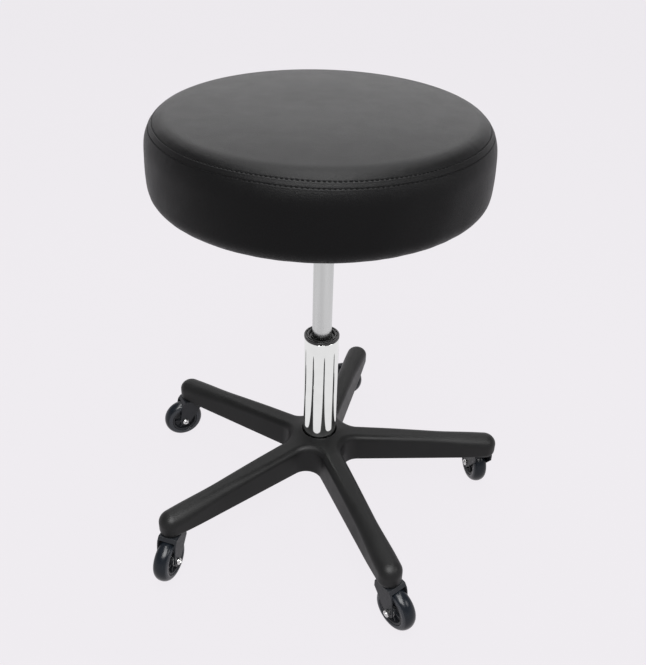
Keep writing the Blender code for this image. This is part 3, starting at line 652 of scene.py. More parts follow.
ROLL = EDGE * (1 - np.cos(np.radians(np.linspace(90, 12, 8))))  # closing in on the joining seam

top_skin = Rings()
top_skin.pole((SEAT_X, 0.0, SEAT_TOP + 0.0001))
top_skin.add(cover_points(spaced(0.004, S_UPPER - 0.036, 0.0042), COARSE))
top_skin.add(cover_points(spaced(S_UPPER - 0.034, S_UPPER - 0.0042, 0.0016), FINE))
top_skin.add(cover_points(spaced(S_UPPER - 0.0039, S_LOWER - EDGE - 0.0003, 0.00034), FINE))
top_skin.add(cover_points(S_LOWER - ROLL, FINE))
top_skin.add(cover_points([S_LOWER - 0.00004], FINE, 0.0032))
top_skin.add(cover_points(spaced(S_LOWER - 0.002, S_UPPER - 0.036, 0.006), COARSE, 0.0022))
top_skin.add(cover_points(spaced(S_UPPER - 0.045, 0.012, 0.016), COARSE, 0.0022))
top_skin.pole((SEAT_X, 0.0, SEAT_TOP - 0.0021))
seat_top = shown("seat_top_cover", top_skin.mesh("seat_top_cover"), leather)
piece(seat_top, "seat", "seat_top_panel", slot="cover_leather")

side_skin = Rings()
side_skin.add(cover_points([S_LOWER + 0.00004], FINE, 0.0032))
side_skin.add(cover_points(S_LOWER + ROLL[::-1], FINE))
side_skin.add(cover_points(spaced(S_LOWER + EDGE + 0.0003, S_LOWER + 0.0065, 0.00036), FINE))
side_skin.add(cover_points(spaced(S_LOWER + 0.0072, S_LOWER + 0.020, 0.0016), FINE))
side_skin.add(cover_points(spaced(S_LOWER + 0.022, S_END, 0.0024), COARSE))
side_skin.add(cover_points(spaced(S_END - 0.0005, S_LOWER + 0.010, 0.008), COARSE, 0.0020))
side_skin.add(cover_points([S_LOWER + 0.0030], FINE, 0.0030))
side_skin.add(cover_points([S_LOWER + 0.00004], FINE, 0.0032))
seat_side = shown("seat_side_cover", tidy(side_skin.mesh("seat_side_cover")), leather)
piece(seat_side, "seat", "seat_side_band", slot="cover_leather")


def stitch_row(name, s, length, radius, sink):
    """One thread for each stitch, arched over the leather and diving into it at its ends."""
    rng = np.random.default_rng(int(s * 1e5))
    steps, sides = 7, 8
    t = np.linspace(-1, 1, steps)
    middle = cover_points([s], STITCHES * 40)[0]
    ahead = cover_points([s + 0.0004], STITCHES * 40)[0]
    verts, quads, tris = [], [], []
    for k in range(STITCHES):
        turn = rng.normal(0, 0.05)
        base = middle[40 * k]
        across = ahead[40 * k] - base
        across /= np.linalg.norm(across)
        tangent = middle[(40 * k + 6) % len(middle)] - middle[(40 * k - 6) % len(middle)]
        tangent /= np.linalg.norm(tangent)
        across -= tangent * (across @ tangent)
        across /= np.linalg.norm(across)
        out = np.cross(across, tangent)
        if out @ np.array([base[0] - SEAT_X, base[1], 0.06]) < 0:
            out = -out
        half = length * TAU * 0.205 / STITCHES / 2
        centres = (
            base
            + np.outer(t * half, tangent)
            + np.outer(t * half * (0.10 + turn), across)
            + np.outer(sink + 0.00030 * (1 - t**2) - 0.0006 * np.abs(t) ** 6, out)
        )
        first = len(verts) * 1
        swell = radius * np.array([0.55, 0.92, 1.0, 1.0, 1.0, 0.92, 0.55])
        for c, w in zip(centres, swell):
            for q in range(sides):
                a = TAU * q / sides
                verts.append(c + w * (math.cos(a) * across + math.sin(a) * out))
        for i in range(steps - 1):
            for q in range(sides):
                n = (q + 1) % sides
                quads.append((first + i * sides + q, first + (i + 1) * sides + q, first + (i + 1) * sides + n, first + i * sides + n))
        for ring, end, flip in ((0, centres[0] - tangent * radius * 0.5, True), (steps - 1, centres[-1] + tangent * radius * 0.5, False)):
            pole = len(verts)
            verts.append(end)
            for q in range(sides):
                n = (q + 1) % sides
                a, b = first + ring * sides + q, first + ring * sides + n
                tris.append((pole, a, b) if flip else (pole, b, a))
    mesh = quad_mesh(name, verts, quads, tris)
    bm = bmesh.new()
    bm.from_mesh(mesh)
    bmesh.ops.recalc_face_normals(bm, faces=bm.faces)
    bm.to_mesh(mesh)
    bm.free()
    return mesh


upper_row = shown("seam_stitches_upper", stitch_row("seam_stitches_upper", S_UPPER, 0.78, 0.00072, 0.00015), thread)
piece(upper_row, "seat")
lower_row = shown("seam_stitches_lower", stitch_row("seam_stitches_lower", S_LOWER + 0.0005, 0.68, 0.00046, -0.00004), thread)
piece(lower_row, "seat")

# underside: dust cloth with stapled edge
def dust_cloth():
    skin = Rings()
    count = 288
    theta = TAU * np.arange(count) / count
    edge = DUST_R - 0.0008 + 0.0006 * harmonics(23, 9, 40, 10)(theta)
    sag = ripples(29, 0.05, 0.12, 8)
    staple_pull = 0.5 + 0.5 * np.cos(36 * theta)

    def ring(share, low):
        r = edge * share
        x, y = r * np.cos(theta), r * np.sin(theta)
        rim = np.clip((share - 0.90) / 0.10, 0, 1)
        wave = 0.00012 * sag(x, y) + 0.00022 * rim * (staple_pull - 0.5)
        z = (DUST_LOW + 0.0004 + wave) if low else np.full(count, DUST_TOP)
        return np.stack([SEAT_X + x, y, z], 1)

    skin.pole((SEAT_X, 0, DUST_TOP))
    shares = [0.1, 0.3, 0.5, 0.7, 0.85, 0.93, 0.97, 0.995]
    skin.add([ring(q, False) for q in shares])
    skin.add([ring(1.0, True) + np.array([0, 0, 0.0004])])
    skin.add([ring(q, True) for q in [0.997, 0.985, 0.97, 0.95, 0.93, 0.90, 0.85, 0.78, 0.7, 0.6, 0.5, 0.4, 0.3, 0.2, 0.1]])
    skin.pole((SEAT_X, 0, DUST_LOW + 0.0004))
    return tidy(skin.mesh("dust_cloth"))


piece(shown("dust_cloth", dust_cloth(), cloth), "seat", "dust_cover", slot="dust_cloth")

staples = []
for k in range(36):
    a = TAU * (k + 0.5) / 36
    wire = soften([(-0.0048, 0.0010, 0), (-0.0048, 0.0, 0.0005), (0.0048, 0.0, 0.0005), (0.0048, 0.0010, 0)], count=3)
    mesh = swept([(0.0, x, z) for x, z in wire], 0.00034, 8)
    mesh.transform(
        Matrix.Translation((SEAT_X, 0, 0)) @ Matrix.Rotation(a + 0.04 * math.sin(5 * k), 4, "Z") @ Matrix.Translation((DUST_R - 0.0065, 0, DUST_LOW + 0.0001))
    )
    staples.append(mesh)
piece(shown("cloth_staples", gathered("cloth_staples", staples), zinc), "seat")


def from_node(node):
    """A node's mesh welded and freed of the diagonals in its flat faces."""
    bm = bmesh.new()
    bm.from_mesh(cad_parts[node].data)
    bmesh.ops.remove_doubles(bm, verts=bm.verts, dist=2e-6)
    bmesh.ops.dissolve_limit(bm, angle_limit=math.radians(0.6), verts=bm.verts, edges=bm.edges)
    mesh = bpy.data.meshes.new(node + "_fine")
    bm.to_mesh(mesh)
    bm.free()
    return mesh


plate = shown("seat_plate_pressed", bevelled(from_node("seat_plate"), 0.0008, 3, 40), black_steel, 35)
piece(soft_flats(plate), "seat", "seat_plate", slot="black_steel")

# plate screws: pan heads with a cross recess
def screw_mesh():
    profile = soften(
        [(0.0, 0.0160, 0), (0.0009, 0.0160, 0), (0.0024, 0.0130, 0.0006), (0.0024, 0.0, 0), (0.0054, 0.0, 0.0002),
         (0.0055, -0.0012, 0.0006), (0.0036, -0.0031, 0.0016), (0.0, -0.0034, 0)], count=5
    )
    head = turned("plate_screw", profile, 40)
    arm = box((0.0062, 0.0012, 0.0044), (0, 0, -0.0042))
    other = box((0.0012, 0.0062, 0.0044), (0, 0, -0.0042))
    return combined(head, [("DIFFERENCE", arm), ("DIFFERENCE", other)])


screw = screw_mesh()
for number in range(1, 5):
    low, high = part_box(f"plate_screw_{number}")
    ob = shown(f"pan_screw_{number}", screw, zinc, 40)
    ob.location = ((low.x + high.x) / 2, (low.y + high.y) / 2, high.z - 0.0160)
    ob.rotation_euler = (0, 0, 0.6 * number)
    piece(ob, "seat", f"plate_screw_{number}", slot="bright_steel")

# release lever and its grip
pivot = Matrix.Translation(
    (LEVER_PIVOT_U * math.cos(LEVER_DIR), LEVER_PIVOT_U * math.sin(LEVER_DIR), LEVER_Z)
) @ Matrix.Rotation(LEVER_DIR, 4, "Z")
bend = soften(
    [(-0.006, 0.0, 0), (0.034, 0.0, 0.05), (0.070, -0.0045, 0.08), (0.150, -0.0125, 0.2), (0.186, -0.0160, 0)], count=10
)
rod = swept([(u - LEVER_PIVOT_U, 0.0, z) for u, z in bend], LEVER_R - 0.00005, 24)
eye = along_y(turned("eye", soften([(0.0023, 0.006, 0.0), (0.0065, 0.006, 0.0008), (0.0065, -0.006, 0.0008), (0.0023, -0.006, 0.0)], True), 40, True))
rod = combined(rod, [("UNION", eye), ("DIFFERENCE", along_y(turned("pin", [(0, 0.02), (0.0023, 0.02), (0.0023, -0.02), (0, -0.02)], 32)))])
ob = shown("release_lever_rod", rod, zinc, 40)
ob.matrix_world = pivot
piece(ob, "lever", "release_lever", slot="bright_steel")

grip_line = [(0.0, 0.046, 0), (0.0045, 0.0457, 0.002), (0.0080, 0.0425, 0.003)]
for k in range(7):
    z = 0.0375 - 0.0046 * k
    r = 0.0085 - 0.00021 * k
    grip_line += [(r, z + 0.0016, 0.0006), (r, z + 0.0004, 0.0005), (r - 0.0007, z, 0.0004), (r, z - 0.0004, 0.0005)]
grip_line += [(0.0066, 0.0016, 0.001), (0.0060, 0.0, 0.0006), (LEVER_R + 0.0002, 0.0, 0), (LEVER_R + 0.0002, 0.0340, 0), (0.0, 0.0340, 0)]
grip = turned("lever_grip_ribbed", soften(grip_line, count=3), 56)
(u0, z0), (u1, z1) = (0.150, -0.0125), (0.186, -0.0160)
tilt = math.atan2(z1 - z0, u1 - u0)
grip.transform(Matrix.Rotation(math.pi / 2 - tilt, 4, "Y"))
grip.transform(Matrix.Translation((u1 - LEVER_PIVOT_U - 0.033 * math.cos(tilt), 0, z1 - 0.033 * math.sin(tilt))))
ob = shown("lever_grip_ribbed", grip, plastic, 50)
ob.matrix_world = pivot
piece(ob, "lever", "lever_grip", slot="black_plastic")

# ------------------------------------------------------------ gas lift
tube = turned(
    "lift_tube_chrome",
    soften(
        [(TUBE_BORE, TUBE_TOP, 0.0003), (TUBE_R, TUBE_TOP, 0.0008), (TUBE_R, TUBE_TAPER_TOP, 0.05),
         (TUBE_R_LOW, TUBE_BOTTOM + 0.002, 0.001), (TUBE_R_LOW - 0.002, TUBE_BOTTOM, 0.001), (0.0056, TUBE_BOTTOM, 0.0002),
         (0.0056, TUBE_BOTTOM + 0.005, 0.0), (TUBE_BORE, TUBE_BOTTOM + 0.005, 0.0)], True, 5
    ),
    160,
    True,
)
piece(soft_flats(shown("lift_tube_chrome", tube, chrome, 50)), "base", "lift_tube", slot="chrome")


def bushing_mesh():
    """Flanged guide with a dished mouth and a ring of short slots in its top."""
    count = 720
    theta = TAU * np.arange(count) / count
    window = np.clip((np.abs((theta / TAU * 14) % 1 - 0.5) - 0.40) / 0.03, 0, 1)
    slot = 1 - window
    skin = Rings()

    def ring(r, z, cut=0.0):
        height = z - cut * slot
        return np.stack([r * np.cos(theta), r * np.sin(theta), height], 1)

    top = BUSH_TOP
    low = TUBE_TOP + 0.0003
    skin.add([ring(BUSH_BORE, BUSH_LOW), ring(BUSH_BORE, 0.24), ring(BUSH_BORE, top - 0.0056), ring(BUSH_BORE + 0.0003, top - 0.0050)])
    for r, z in soften([(BUSH_BORE + 0.0003, top - 0.0050, 0), (0.0176, top - 0.0043, 0.0010), (0.0188, top - 0.0004, 0.0008), (0.0206, top, 0)], count=5)[1:]:
        skin.add([ring(r, z)])
    for r, cut in ((0.0209, 0.0), (0.02105, 0.0004), (0.0212, 0.0013), (0.0226, 0.0013), (0.02275, 0.0004), (0.0229, 0.0)):
        skin.add([ring(r, top, cut)])
    for r, z in soften([(0.0232, top, 0), (BUSH_FLANGE_R, top, 0.0012), (BUSH_FLANGE_R, low, 0.0004), (BUSH_R, low, 0)], count=6):
        skin.add([ring(r, z)])
    skin.add([ring(BUSH_R, 0.25), ring(BUSH_R, BUSH_LOW), ring(BUSH_BORE, BUSH_LOW)])
    return tidy(skin.mesh("guide_bushing_flanged"))


piece(shown("guide_bushing_flanged", bushing_mesh(), bushing_black, 60), "base", "guide_bushing", slot="black_plastic")

cylinder = turned(
    "gas_cylinder_satin",
    soften(
        [(0.0, 0.4675, 0), (0.0038, 0.4675, 0), (0.0038, CYL_TOP, 0.0003), (CYL_TIP_R - 0.0002, CYL_TOP, 0.0012),
         (CYL_R, CYL_TAPER, 0.03), (CYL_R, CYL_LOW, 0.0010), (0.0056, CYL_LOW, 0), (0.0056, CYL_LOW + 0.005, 0),
         (0.0120, CYL_LOW + 0.005, 0), (0.0120, 0.4585, 0), (0.0, 0.4585, 0)], count=5
    ),
    128,
)
piece(soft_flats(shown("gas_cylinder_satin", cylinder, satin, 50)), "seat", "gas_cylinder", slot="satin_steel")


# ------------------------------------------------------------ five-arm base
def arm_top(r):
    rise = np.maximum(0.0, (HUB_RISE_R - r) / HUB_RISE_R)
    return ARM_TOP_ROOT + (ARM_TOP_TIP - ARM_TOP_ROOT) * (r - ROOT_S) / (TIP_END - ROOT_S) + HUB_RISE * rise * rise


def arm_low(r):
    return ARM_LOW_ROOT + (ARM_LOW_TIP - ARM_LOW_ROOT) * (r - ROOT_S) / (TIP_END - ROOT_S)


def ease(x, low, high):
    t = np.clip((x - low) / (high - low), 0.0, 1.0)
    return t * t * (3 - 2 * t)


def arm_columns():
    """Points round half an arm's plan outline: (outline point, outward normal, where its rows end)."""
    tip_s = TIP_END - TIP_R
    slope = math.atan2(ROOT_HALF - TIP_R, tip_s - ROOT_S)
    nx, ny = math.sin(slope), math.cos(slope)
    offset = nx * ROOT_S + ny * ROOT_HALF
    between = math.pi / ARMS
    reach = (ROOT_FILLET + offset) / (nx * math.cos(between) + ny * math.sin(between))
    fx, fy = reach * math.cos(between), reach * math.sin(between)
    square = math.pi / 2 - slope
    columns = []
    for a in np.linspace(0, square, 22):
        n = (math.cos(a), math.sin(a))
        columns.append(((tip_s + TIP_R * n[0], TIP_R * n[1]), n, (tip_s, 0.0)))
    end = (tip_s + TIP_R * nx, TIP_R * ny)
    tangent = (fx - ROOT_FILLET * nx, fy - ROOT_FILLET * ny)
    for t in np.linspace(0, 1, 86)[1:]:
        b = (end[0] + (tangent[0] - end[0]) * t, end[1] + (tangent[1] - end[1]) * t)
        columns.append((b, (nx, ny), (b[0] - b[1] / ny * nx, 0.0)))
    start_u = columns[-1][2][0]
    straight, curved = start_u - HUB_BORE, HUB_BORE * between
    for t in np.linspace(0, 1, 42)[1:]:
        a = square + (between - square) * t
        n = (math.cos(a), math.sin(a))
        gone = t * (straight + curved)
        if gone < straight:
            inner = (start_u - gone, 0.0)
        else:
            turn = (gone - straight) / HUB_BORE
            inner = (HUB_BORE * math.cos(turn), HUB_BORE * math.sin(turn))
        columns.append(((fx - ROOT_FILLET * n[0], fy - ROOT_FILLET * n[1]), n, inner))
    return columns


def base_mesh():
    columns = arm_columns()
    hub_from = next(i for i, c in enumerate(columns) if math.hypot(*c[2]) < HUB_BORE + 1e-6)
    inset = np.array([12.0, 11.0, 10.0, 9.0, 8.0, 7.0, 6.0, 5.0, 4.1, 3.3, 2.5, 1.8, 1.2, 0.7, 0.35, 0.12, 0.0]) * MM
    flow = 1 - (1 - np.linspace(0, 1, 13)) ** 1.5
    rows = []
    for b, n, e in columns:
        b, n, e = (np.array(v, float) for v in (b, n, e))
        line = []

        def at(d):
            return b - d * n

        def radius(p):
            return float(np.hypot(*p))

        def rounding(p):
            t = ease(radius(p), 0.090, 0.262)
            return (10.2 + 5.8 * t) * MM, (9.0 + 5.2 * t) * MM

        def top(p, d):
            r = radius(p)
            wide, tall = rounding(p)
            x = np.clip((wide - d) / wide, 0.0, 1.0)
            drop = tall * (1 - math.sqrt(max(0.0, 1 - x * x)))
            y = np.clip((HUB_BORE + 0.0013 - r) / 0.0013, 0.0, 1.0)
            return arm_top(r) - drop - 0.0009 * (1 - math.sqrt(max(0.0, 1 - y * y)))

        draft = 2.8 * MM * (1 - ease(radius(b), 0.180, 0.255))
        start = at(inset[0] + draft)
        reach = float(np.linalg.norm(e - start))
        for t in flow[::-1][:-1]:
            p = start + (e - start) * t
            line.append((*p, top(p, inset[0] + reach * t)))
        for d in inset:
            line.append((*at(d + draft), top(at(d + draft), d)))
        r = radius(b)
        low = float(arm_low(r))
        lip = ease(r, 0.225, 0.275)
        lip_w, lip_h = (0.8 + 1.6 * lip) * MM, (1.0 + 5.0 * lip) * MM
        high = line[-1][2]
        for t in np.linspace(0, 1, 7)[1:]:
            line.append((*at(draft * (1 - t)), high + (low + lip_h - high) * t))
        for a in np.radians(np.linspace(0, 90, 7))[1:]:
            line.append((*at(lip_w * (1 - math.cos(a))), low + lip_h * (1 - math.sin(a))))
        line.append((*at(WALL - 0.0004), low))
        line.append((*at(WALL), low + 0.0004))
        roof = float(arm_top(radius(at(WALL)))) - ROOF
        line.append((*at(WALL + 0.0001), low + 0.35 * (roof - low)))
        line.append((*at(WALL + 0.0002), roof - 0.0022))
        line.append((*at(WALL + 0.0008), roof - 0.0006))
        inner = at(WALL + 0.0024)
        deep = e * (HUB_THROAT / HUB_BORE) if radius(e) < HUB_BORE + 1e-6 else e
        for t in np.linspace(0, 1, 8):
            p = inner + (deep - inner) * t
            line.append((*p, float(arm_top(radius(p))) - ROOF))
        rows.append(line)
    rows = np.array(rows)
    ncol, nrow = rows.shape[:2]
    index = np.arange(ncol * nrow).reshape(ncol, nrow)
    quads = np.stack([index[:-1, :-1], index[1:, :-1], index[1:, 1:], index[:-1, 1:]], -1).reshape(-1, 4)
    bore = index[hub_from:]
    quads = np.concatenate([quads, np.stack([bore[:-1, -1], bore[1:, -1], bore[1:, 0], bore[:-1, 0]], -1)])
    points, faces, shift = [], [], 0
    flat = rows.reshape(-1, 3)
    for arm in range(ARMS):
        turn = ARM_A0 + TAU / ARMS * arm
        c, s = math.cos(turn), math.sin(turn)
        for side in (1, -1):
            x, y = flat[:, 0], flat[:, 1] * side
            points.append(np.stack([x * c - y * s, x * s + y * c, flat[:, 2]], 1))
            faces.append((quads if side > 0 else quads[:, ::-1]) + shift)
            shift += len(flat)
    mesh = bpy.data.meshes.new("star_base")
    bm = bmesh.new()
    raw = quad_mesh("raw", np.concatenate(points), np.concatenate(faces))
    bm.from_mesh(raw)
    bmesh.ops.remove_doubles(bm, verts=bm.verts, dist=4e-6)
    bmesh.ops.dissolve_degenerate(bm, edges=bm.edges, dist=2e-6)
    bmesh.ops.recalc_face_normals(bm, faces=bm.faces)
    if bm.calc_volume(signed=True) < 0:
        bmesh.ops.reverse_faces(bm, faces=bm.faces)
    bm.to_mesh(mesh)
    bm.free()
    return mesh


piece(shown("star_base", base_mesh(), nylon, 60), "base", "base", slot="black_nylon")

ribs = [
    turned(
        "hub_boss",
        soften([(HUB_THROAT, 0.104, 0), (HUB_BOSS_R, 0.104, 0), (HUB_BOSS_R - 0.0006, HUB_BOSS_LOW, 0.0012), (TUBE_R_LOW + 0.0006, HUB_BOSS_LOW, 0.0006)], True, 4),
        96,
        True,
    )
]
for arm in range(ARMS):
    turn = Matrix.Rotation(ARM_A0 + TAU / ARMS * arm, 4, "Z")
    socket = turned(
        "socket",
        soften([(0.0059, 0.0980, 0), (0.0125, 0.0980, 0), (0.0122, arm_low(STEM_AT) + 0.0004, 0.0008), (0.0062, arm_low(STEM_AT) + 0.0004, 0.0006)], True, 4),
        48,
        True,
    )
    socket.transform(turn @ Matrix.Translation((STEM_AT, 0, 0)))
    ribs.append(socket)
    spine = []
    for u in np.linspace(0.0365, 0.2495, 12):
        spine.append((u, float(arm_low(u)) + 0.0016))
    for u in np.linspace(0.2495, 0.0365, 12):
        spine.append((u, float(arm_top(u)) - ROOF + 0.0015))
    mesh = prism(spine, -0.0014, 0.0014)
    mesh.transform(turn @ Matrix.Rotation(math.pi / 2, 4, "X"))
    ribs.append(bevelled(mesh, 0.0004, 2))
    for u in CROSS_RIBS:
        half = ROOT_HALF + (TIP_R - ROOT_HALF) * (u - ROOT_S) / (TIP_END - TIP_R - ROOT_S) - WALL + 0.001
        low, high = float(arm_low(u)) + 0.0016, float(arm_top(u)) - ROOF + 0.0015
        for side in (1, -1):
            mesh = box((0.0028, half - 0.0013, high - low), (u, side * (half + 0.0013) / 2, (low + high) / 2))
            mesh = bevelled(mesh, 0.0004, 2)
            mesh.transform(turn)
            ribs.append(mesh)
piece(shown("base_ribs", gathered("base_ribs", ribs), nylon, 40), "base")


# ------------------------------------------------------------ casters
def tangent_angle(px, pz, side):
    dx, dz = TRAIL - px, WHEEL_R - pz
    return math.atan2(-dz, -dx) + side * math.acos(FORK_END_R / math.hypot(dx, dz))


def fork_mesh():
    """Hooded fork: two teardrop cheeks under a flat bridge with a sloping front lip."""
    front, back = (FORK_FRONT + 0.004, FORK_CHEEK_TOP), (FORK_BACK, FORK_CHEEK_TOP)
    a0, a1 = tangent_angle(*back, 1), tangent_angle(*front, -1)
    while a1 < a0:
        a1 += TAU
    outline = soften(
        [(FORK_FRONT + 0.0022, FORK_TOP - 0.0062, 0.0012), (FORK_FRONT - 0.0026, FORK_TOP, 0.0012), (FORK_BACK, FORK_TOP, 0.004), (*back, 0.008)], False, 6
    )
    outline += [
        (TRAIL + FORK_END_R * math.cos(a), WHEEL_R + FORK_END_R * math.sin(a)) for a in np.linspace(a0, a1, 30)
    ]
    outline += [front]
    mesh = prism(outline, -FORK_OUT, FORK_OUT)
    mesh.transform(Matrix.Rotation(math.pi / 2, 4, "X"))
    mesh = combined(
        mesh,
        [
            ("DIFFERENCE", box((0.12, 2 * FORK_IN, 0.10), (0, 0, FORK_SLOT_TOP - 0.0010 - 0.05))),
            ("DIFFERENCE", along_y_at(turned("hole", [(0, 0.03), (0.0033, 0.03), (0.0033, -0.03), (0, -0.03)], 24))),
        ],
    )
    mesh = bevelled(tidy(mesh), 0.00065, 3, 35)
    collar = turned("collar", soften([(0.0, FORK_BOSS_TOP, 0), (0.0094, FORK_BOSS_TOP, 0.0005), (0.0098, FORK_TOP - 0.0006, 0), (0.0, FORK_TOP - 0.0006, 0)], count=4), 48)
    return gathered("caster_fork", [mesh, collar])


def along_y_at(mesh):
    along_y(mesh)
    mesh.transform(Matrix.Translation((TRAIL, 0, WHEEL_R)))
    return mesh


def tyre_mesh():
    """Rounded tread with slightly dished side walls and soft inner edges."""
    line = [(TYRE_IN, TYRE_HALF - 0.0009), (TYRE_IN + 0.0002, TYRE_HALF - 0.0004), (TYRE_IN + 0.0007, TYRE_HALF - 0.0001)]
    for a in np.radians(np.linspace(90, -90, 49)):
        line.append((TREAD_R + (WHEEL_R - TREAD_R) * math.cos(a), TYRE_HALF * math.sin(a)))
    line += [(TYRE_IN + 0.0007, -TYRE_HALF + 0.0001), (TYRE_IN + 0.0002, -TYRE_HALF + 0.0004), (TYRE_IN, -TYRE_HALF + 0.0009)]
    return along_y(turned("tyre", line, 128, True))


def core_mesh():
    """Black wheel centre: rim, dished web with six openings' worth of ribs, and a hub."""
    half = [
        (0.0048, 0.0106, 0.0), (0.0082, 0.0106, 0.0006), (0.0088, 0.0056, 0.0008), (0.0168, 0.0048, 0.0012),
        (0.0182, 0.0098, 0.0006), (TYRE_IN - 0.0003, 0.0100, 0.0005),
    ]
    line = half + [(r, -y, rad) for r, y, rad in half[::-1]]
    mesh = along_y(turned("wheel_core", soften(line, True, 3), 96, True))
    blades = [mesh]
    for k in range(6):
        for side in (1, -1):
            rib = bevelled(box((0.0092, 0.0040, 0.0016), (0.0128, side * 0.0065, 0)), 0.0003, 2)
            rib.transform(Matrix.Rotation(TAU * k / 6, 4, "Y"))
            blades.append(rib)
    return gathered("wheel_core", blades)


def bearing_mesh():
    line = soften(
        [(0.0031, 0.0112, 0.0001), (0.0040, 0.0112, 0.0002), (0.0043, 0.0107, 0.0001), (0.0064, 0.0107, 0.0001),
         (0.0067, 0.0113, 0.0002), (0.0079, 0.0113, 0.0003), (0.0080, 0.0105, 0.0)], False, 3
    )
    line = line + [(r, -y) for r, y in line[::-1]]
    return along_y(turned("wheel_bearing", line, 64, True))


def bolt_mesh():
    """Button head with a six-sided socket, and the shank through the fork."""
    count = 72
    theta = TAU * np.arange(count) / count
    hexed = 1 / np.cos((theta + math.pi / 6) % (math.pi / 3) - math.pi / 6)
    low = FORK_OUT + 0.0003
    skin = Rings()

    def ring(r, y, hexagon=0.0):
        q = r * (1 + hexagon * (hexed - 1))
        return np.stack([q * np.cos(theta), q * np.sin(theta), np.full(count, y)], 1)

    skin.pole((0, 0, low + 0.0012))
    skin.add([ring(0.0012, low + 0.0013), ring(0.00185, low + 0.0014, 1.0), ring(0.0019, low + 0.0030, 1.0), ring(0.00205, low + 0.0033, 1.0), ring(0.0024, low + 0.0034, 0.5)])
    skin.add([ring(r, y) for r, y in soften([(0.0026, low + 0.00338, 0), (0.0038, low + 0.0030, 0.001), (0.0049, low + 0.0016, 0.0014), (0.0050, low + 0.0001, 0.0003), (0.0030, low, 0)], count=5)])
    skin.add([ring(0.0030, 0.0), ring(0.0030, -0.0188), ring(0.0026, -0.0194)])
    skin.pole((0, 0, -0.0194))
    return along_y(tidy(skin.mesh("axle_bolt")))


def nut_mesh():
    hexagon = [(0.0054 * math.cos(TAU * k / 6), 0.0054 * math.sin(TAU * k / 6)) for k in range(6)]
    mesh = prism(hexagon, -0.0190, -FORK_OUT - 0.0003)
    cone = turned("chamfer", [(0, -0.0130), (0.0064, -0.0130), (0.0064, -0.0180), (0.0046, -0.0191), (0, -0.0191)], 48)
    mesh = combined(mesh, [("INTERSECT", cone), ("DIFFERENCE", turned("hole", [(0, 0.0), (0.0032, 0.0), (0.0032, -0.03), (0, -0.03)], 32))])
    return along_y(bevelled(tidy(mesh), 0.00025, 2, 25))


fork, tyre, core, bearing, bolt, nut = fork_mesh(), tyre_mesh(), core_mesh(), bearing_mesh(), bolt_mesh(), nut_mesh()
for number, swivel in enumerate(SWIVEL_DEG, 1):
    arm = ARM_A0 + TAU / ARMS * (number - 1)
    stem_at = Matrix.Translation((STEM_AT * math.cos(arm), STEM_AT * math.sin(arm), 0)) @ Matrix.Rotation(math.radians(swivel), 4, "Z")
    axle_at = stem_at @ Matrix.Translation((TRAIL, 0, WHEEL_R))
    for name, mesh, finish, place, body, node, slot, angle, flats in (
        ("fork_hooded", fork, plastic, stem_at, "caster", "caster_fork", "black_plastic", 40, True),
        ("axle_button_bolt", bolt, zinc, axle_at, "caster", "axle_bolt", "axle_chrome", 40, False),
        ("axle_hex_nut", nut, zinc, axle_at, "caster", "axle_nut", "axle_chrome", 35, True),
        ("tyre_clear", tyre, smoke, axle_at, "wheel", "tyre", "smoke_tyre", 180, False),
        ("wheel_centre", core, plastic, axle_at, "wheel", "wheel_core", "black_plastic", 40, False),
        ("wheel_bearing", bearing, zinc, axle_at, "wheel", None, None, 50, False),
    ):
        ob = shown(f"{name}_{number}", mesh, finish, angle)
        ob.matrix_world = place
        if flats:
            soft_flats(ob)
        piece(ob, f"{body}_{number}", *([f"{node}_{number}"] if node else []), slot=slot)

# ------------------------------------------------------------ finishes on the frame's own nodes
FINISHES = {
    "seat_foam": foam, "seat_board": wood, "lever_pivot_pin": zinc, "release_pin": zinc, "piston_rod": chrome,
    "bearing_lower_washer": zinc, "bearing_ball_ring": zinc, "bearing_upper_washer": zinc, "rubber_bumper": rubber, "rod_clip": zinc,
}
for number in range(1, 6):
    FINISHES[f"caster_stem_{number}"] = zinc
    FINISHES[f"caster_grip_ring_{number}"] = zinc
for node, finish in FINISHES.items():
    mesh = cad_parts[node].data
    mesh.materials.clear()
    mesh.materials.append(finish.mat)

# ------------------------------------------------------------ stage, light and camera
floor_mat = bpy.data.materials.new("pale_floor")
floor_mat.use_nodes = True
tree = floor_mat.node_tree
shader = tree.nodes["Principled BSDF"]
shader.inputs["Base Color"].default_value = (0.010, 0.0097, 0.0101, 1)
shader.inputs["Roughness"].default_value = 0.9
shader.inputs["Specular IOR Level"].default_value = 0.0
shader.inputs["Emission Color"].default_value = (0.863, 0.838, 0.871, 1)
shader.inputs["Emission Strength"].default_value = 0.972
floor = bpy.data.objects.new("floor", prism([(-14, -14), (14, -14), (14, 14), (-14, 14)], -0.05, 0.0))
floor.data.materials.append(floor_mat)
scene.collection.objects.link(floor)
floor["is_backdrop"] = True

world = bpy.data.worlds.new("studio")
scene.world = world
world.use_nodes = True
sky = world.node_tree.nodes["Background"]
sky.inputs["Color"].default_value = (0.863, 0.838, 0.871, 1)
where = world.node_tree.nodes.new("ShaderNodeTexCoord")
split = world.node_tree.nodes.new("ShaderNodeSeparateXYZ")
fade = world.node_tree.nodes.new("ShaderNodeMapRange")  # as pale as the floor at the horizon, dimmer overhead
fade.interpolation_type = "SMOOTHSTEP"
for socket, number in zip(("From Min", "From Max", "To Min", "To Max"), (0.0, 0.44, 0.98, 0.28)):
    fade.inputs[socket].default_value = number
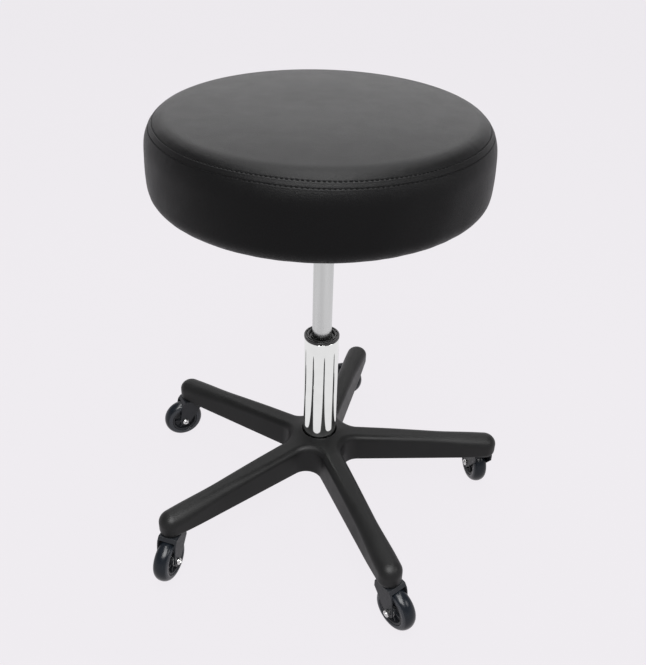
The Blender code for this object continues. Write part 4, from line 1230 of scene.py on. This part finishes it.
world.node_tree.links.new(where.outputs["Generated"], split.inputs["Vector"])
world.node_tree.links.new(split.outputs["Z"], fade.inputs["Value"])
world.node_tree.links.new(fade.outputs["Result"], sky.inputs["Strength"])


def softbox(name, place, aim, size, radiance):
    data = bpy.data.lights.new(name, "AREA")
    data.shape = "RECTANGLE"
    data.size, data.size_y = size
    data.energy = radiance * math.pi * size[0] * size[1]
    ob = bpy.data.objects.new(name, data)
    scene.collection.objects.link(ob)
    ob.location = place
    ob.rotation_euler = (Vector(aim) - Vector(place)).to_track_quat("-Z", "Y").to_euler()
    ob.visible_camera = False


softbox("back_panel", (0.0, 2.6, 1.26), (0, 0, 0.55), (4.6, 1.12), 0.88)
softbox("near_panel", (0.0, 0.80, 1.25), (0, -0.12, 0.63), (1.4, 0.70), 2.15)
softbox("top_softbox", (0.0, 0.08, 2.35), (0, 0, 0.6), (1.4, 1.4), 10.5)
softbox("front_softbox", (0.0, -1.25, 2.25), (0, 0, 0.45), (1.5, 1.3), 15.0)
softbox("right_softbox", (1.65, -0.75, 1.55), (-0.12, -0.10, 0.11), (0.9, 0.7), 5.5)

pitch, roll, yaw = math.radians(32.725), math.radians(1.587), math.radians(0.232)
ahead = Vector((math.sin(yaw) * math.cos(pitch), math.cos(yaw) * math.cos(pitch), -math.sin(pitch)))
right = ahead.cross(Vector((0, 0, 1))).normalized()
up = right.cross(ahead)
across = right * math.cos(roll) + up * math.sin(roll)
upward = -right * math.sin(roll) + up * math.cos(roll)
camera = bpy.data.objects.new("camera", bpy.data.cameras.new("camera"))
camera.data.sensor_width = 36.0
camera.data.lens = 791.37 * 36.0 / 665.0
camera.data.clip_start, camera.data.clip_end = 0.01, 100.0
scene.collection.objects.link(camera)
camera.matrix_world = Matrix(
    (
        (across.x, upward.x, -ahead.x, -0.0023),
        (across.y, upward.y, -ahead.y, -0.9539),
        (across.z, upward.z, -ahead.z, 0.9125),
        (0, 0, 0, 1),
    )
)
scene.camera = camera

low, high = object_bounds()
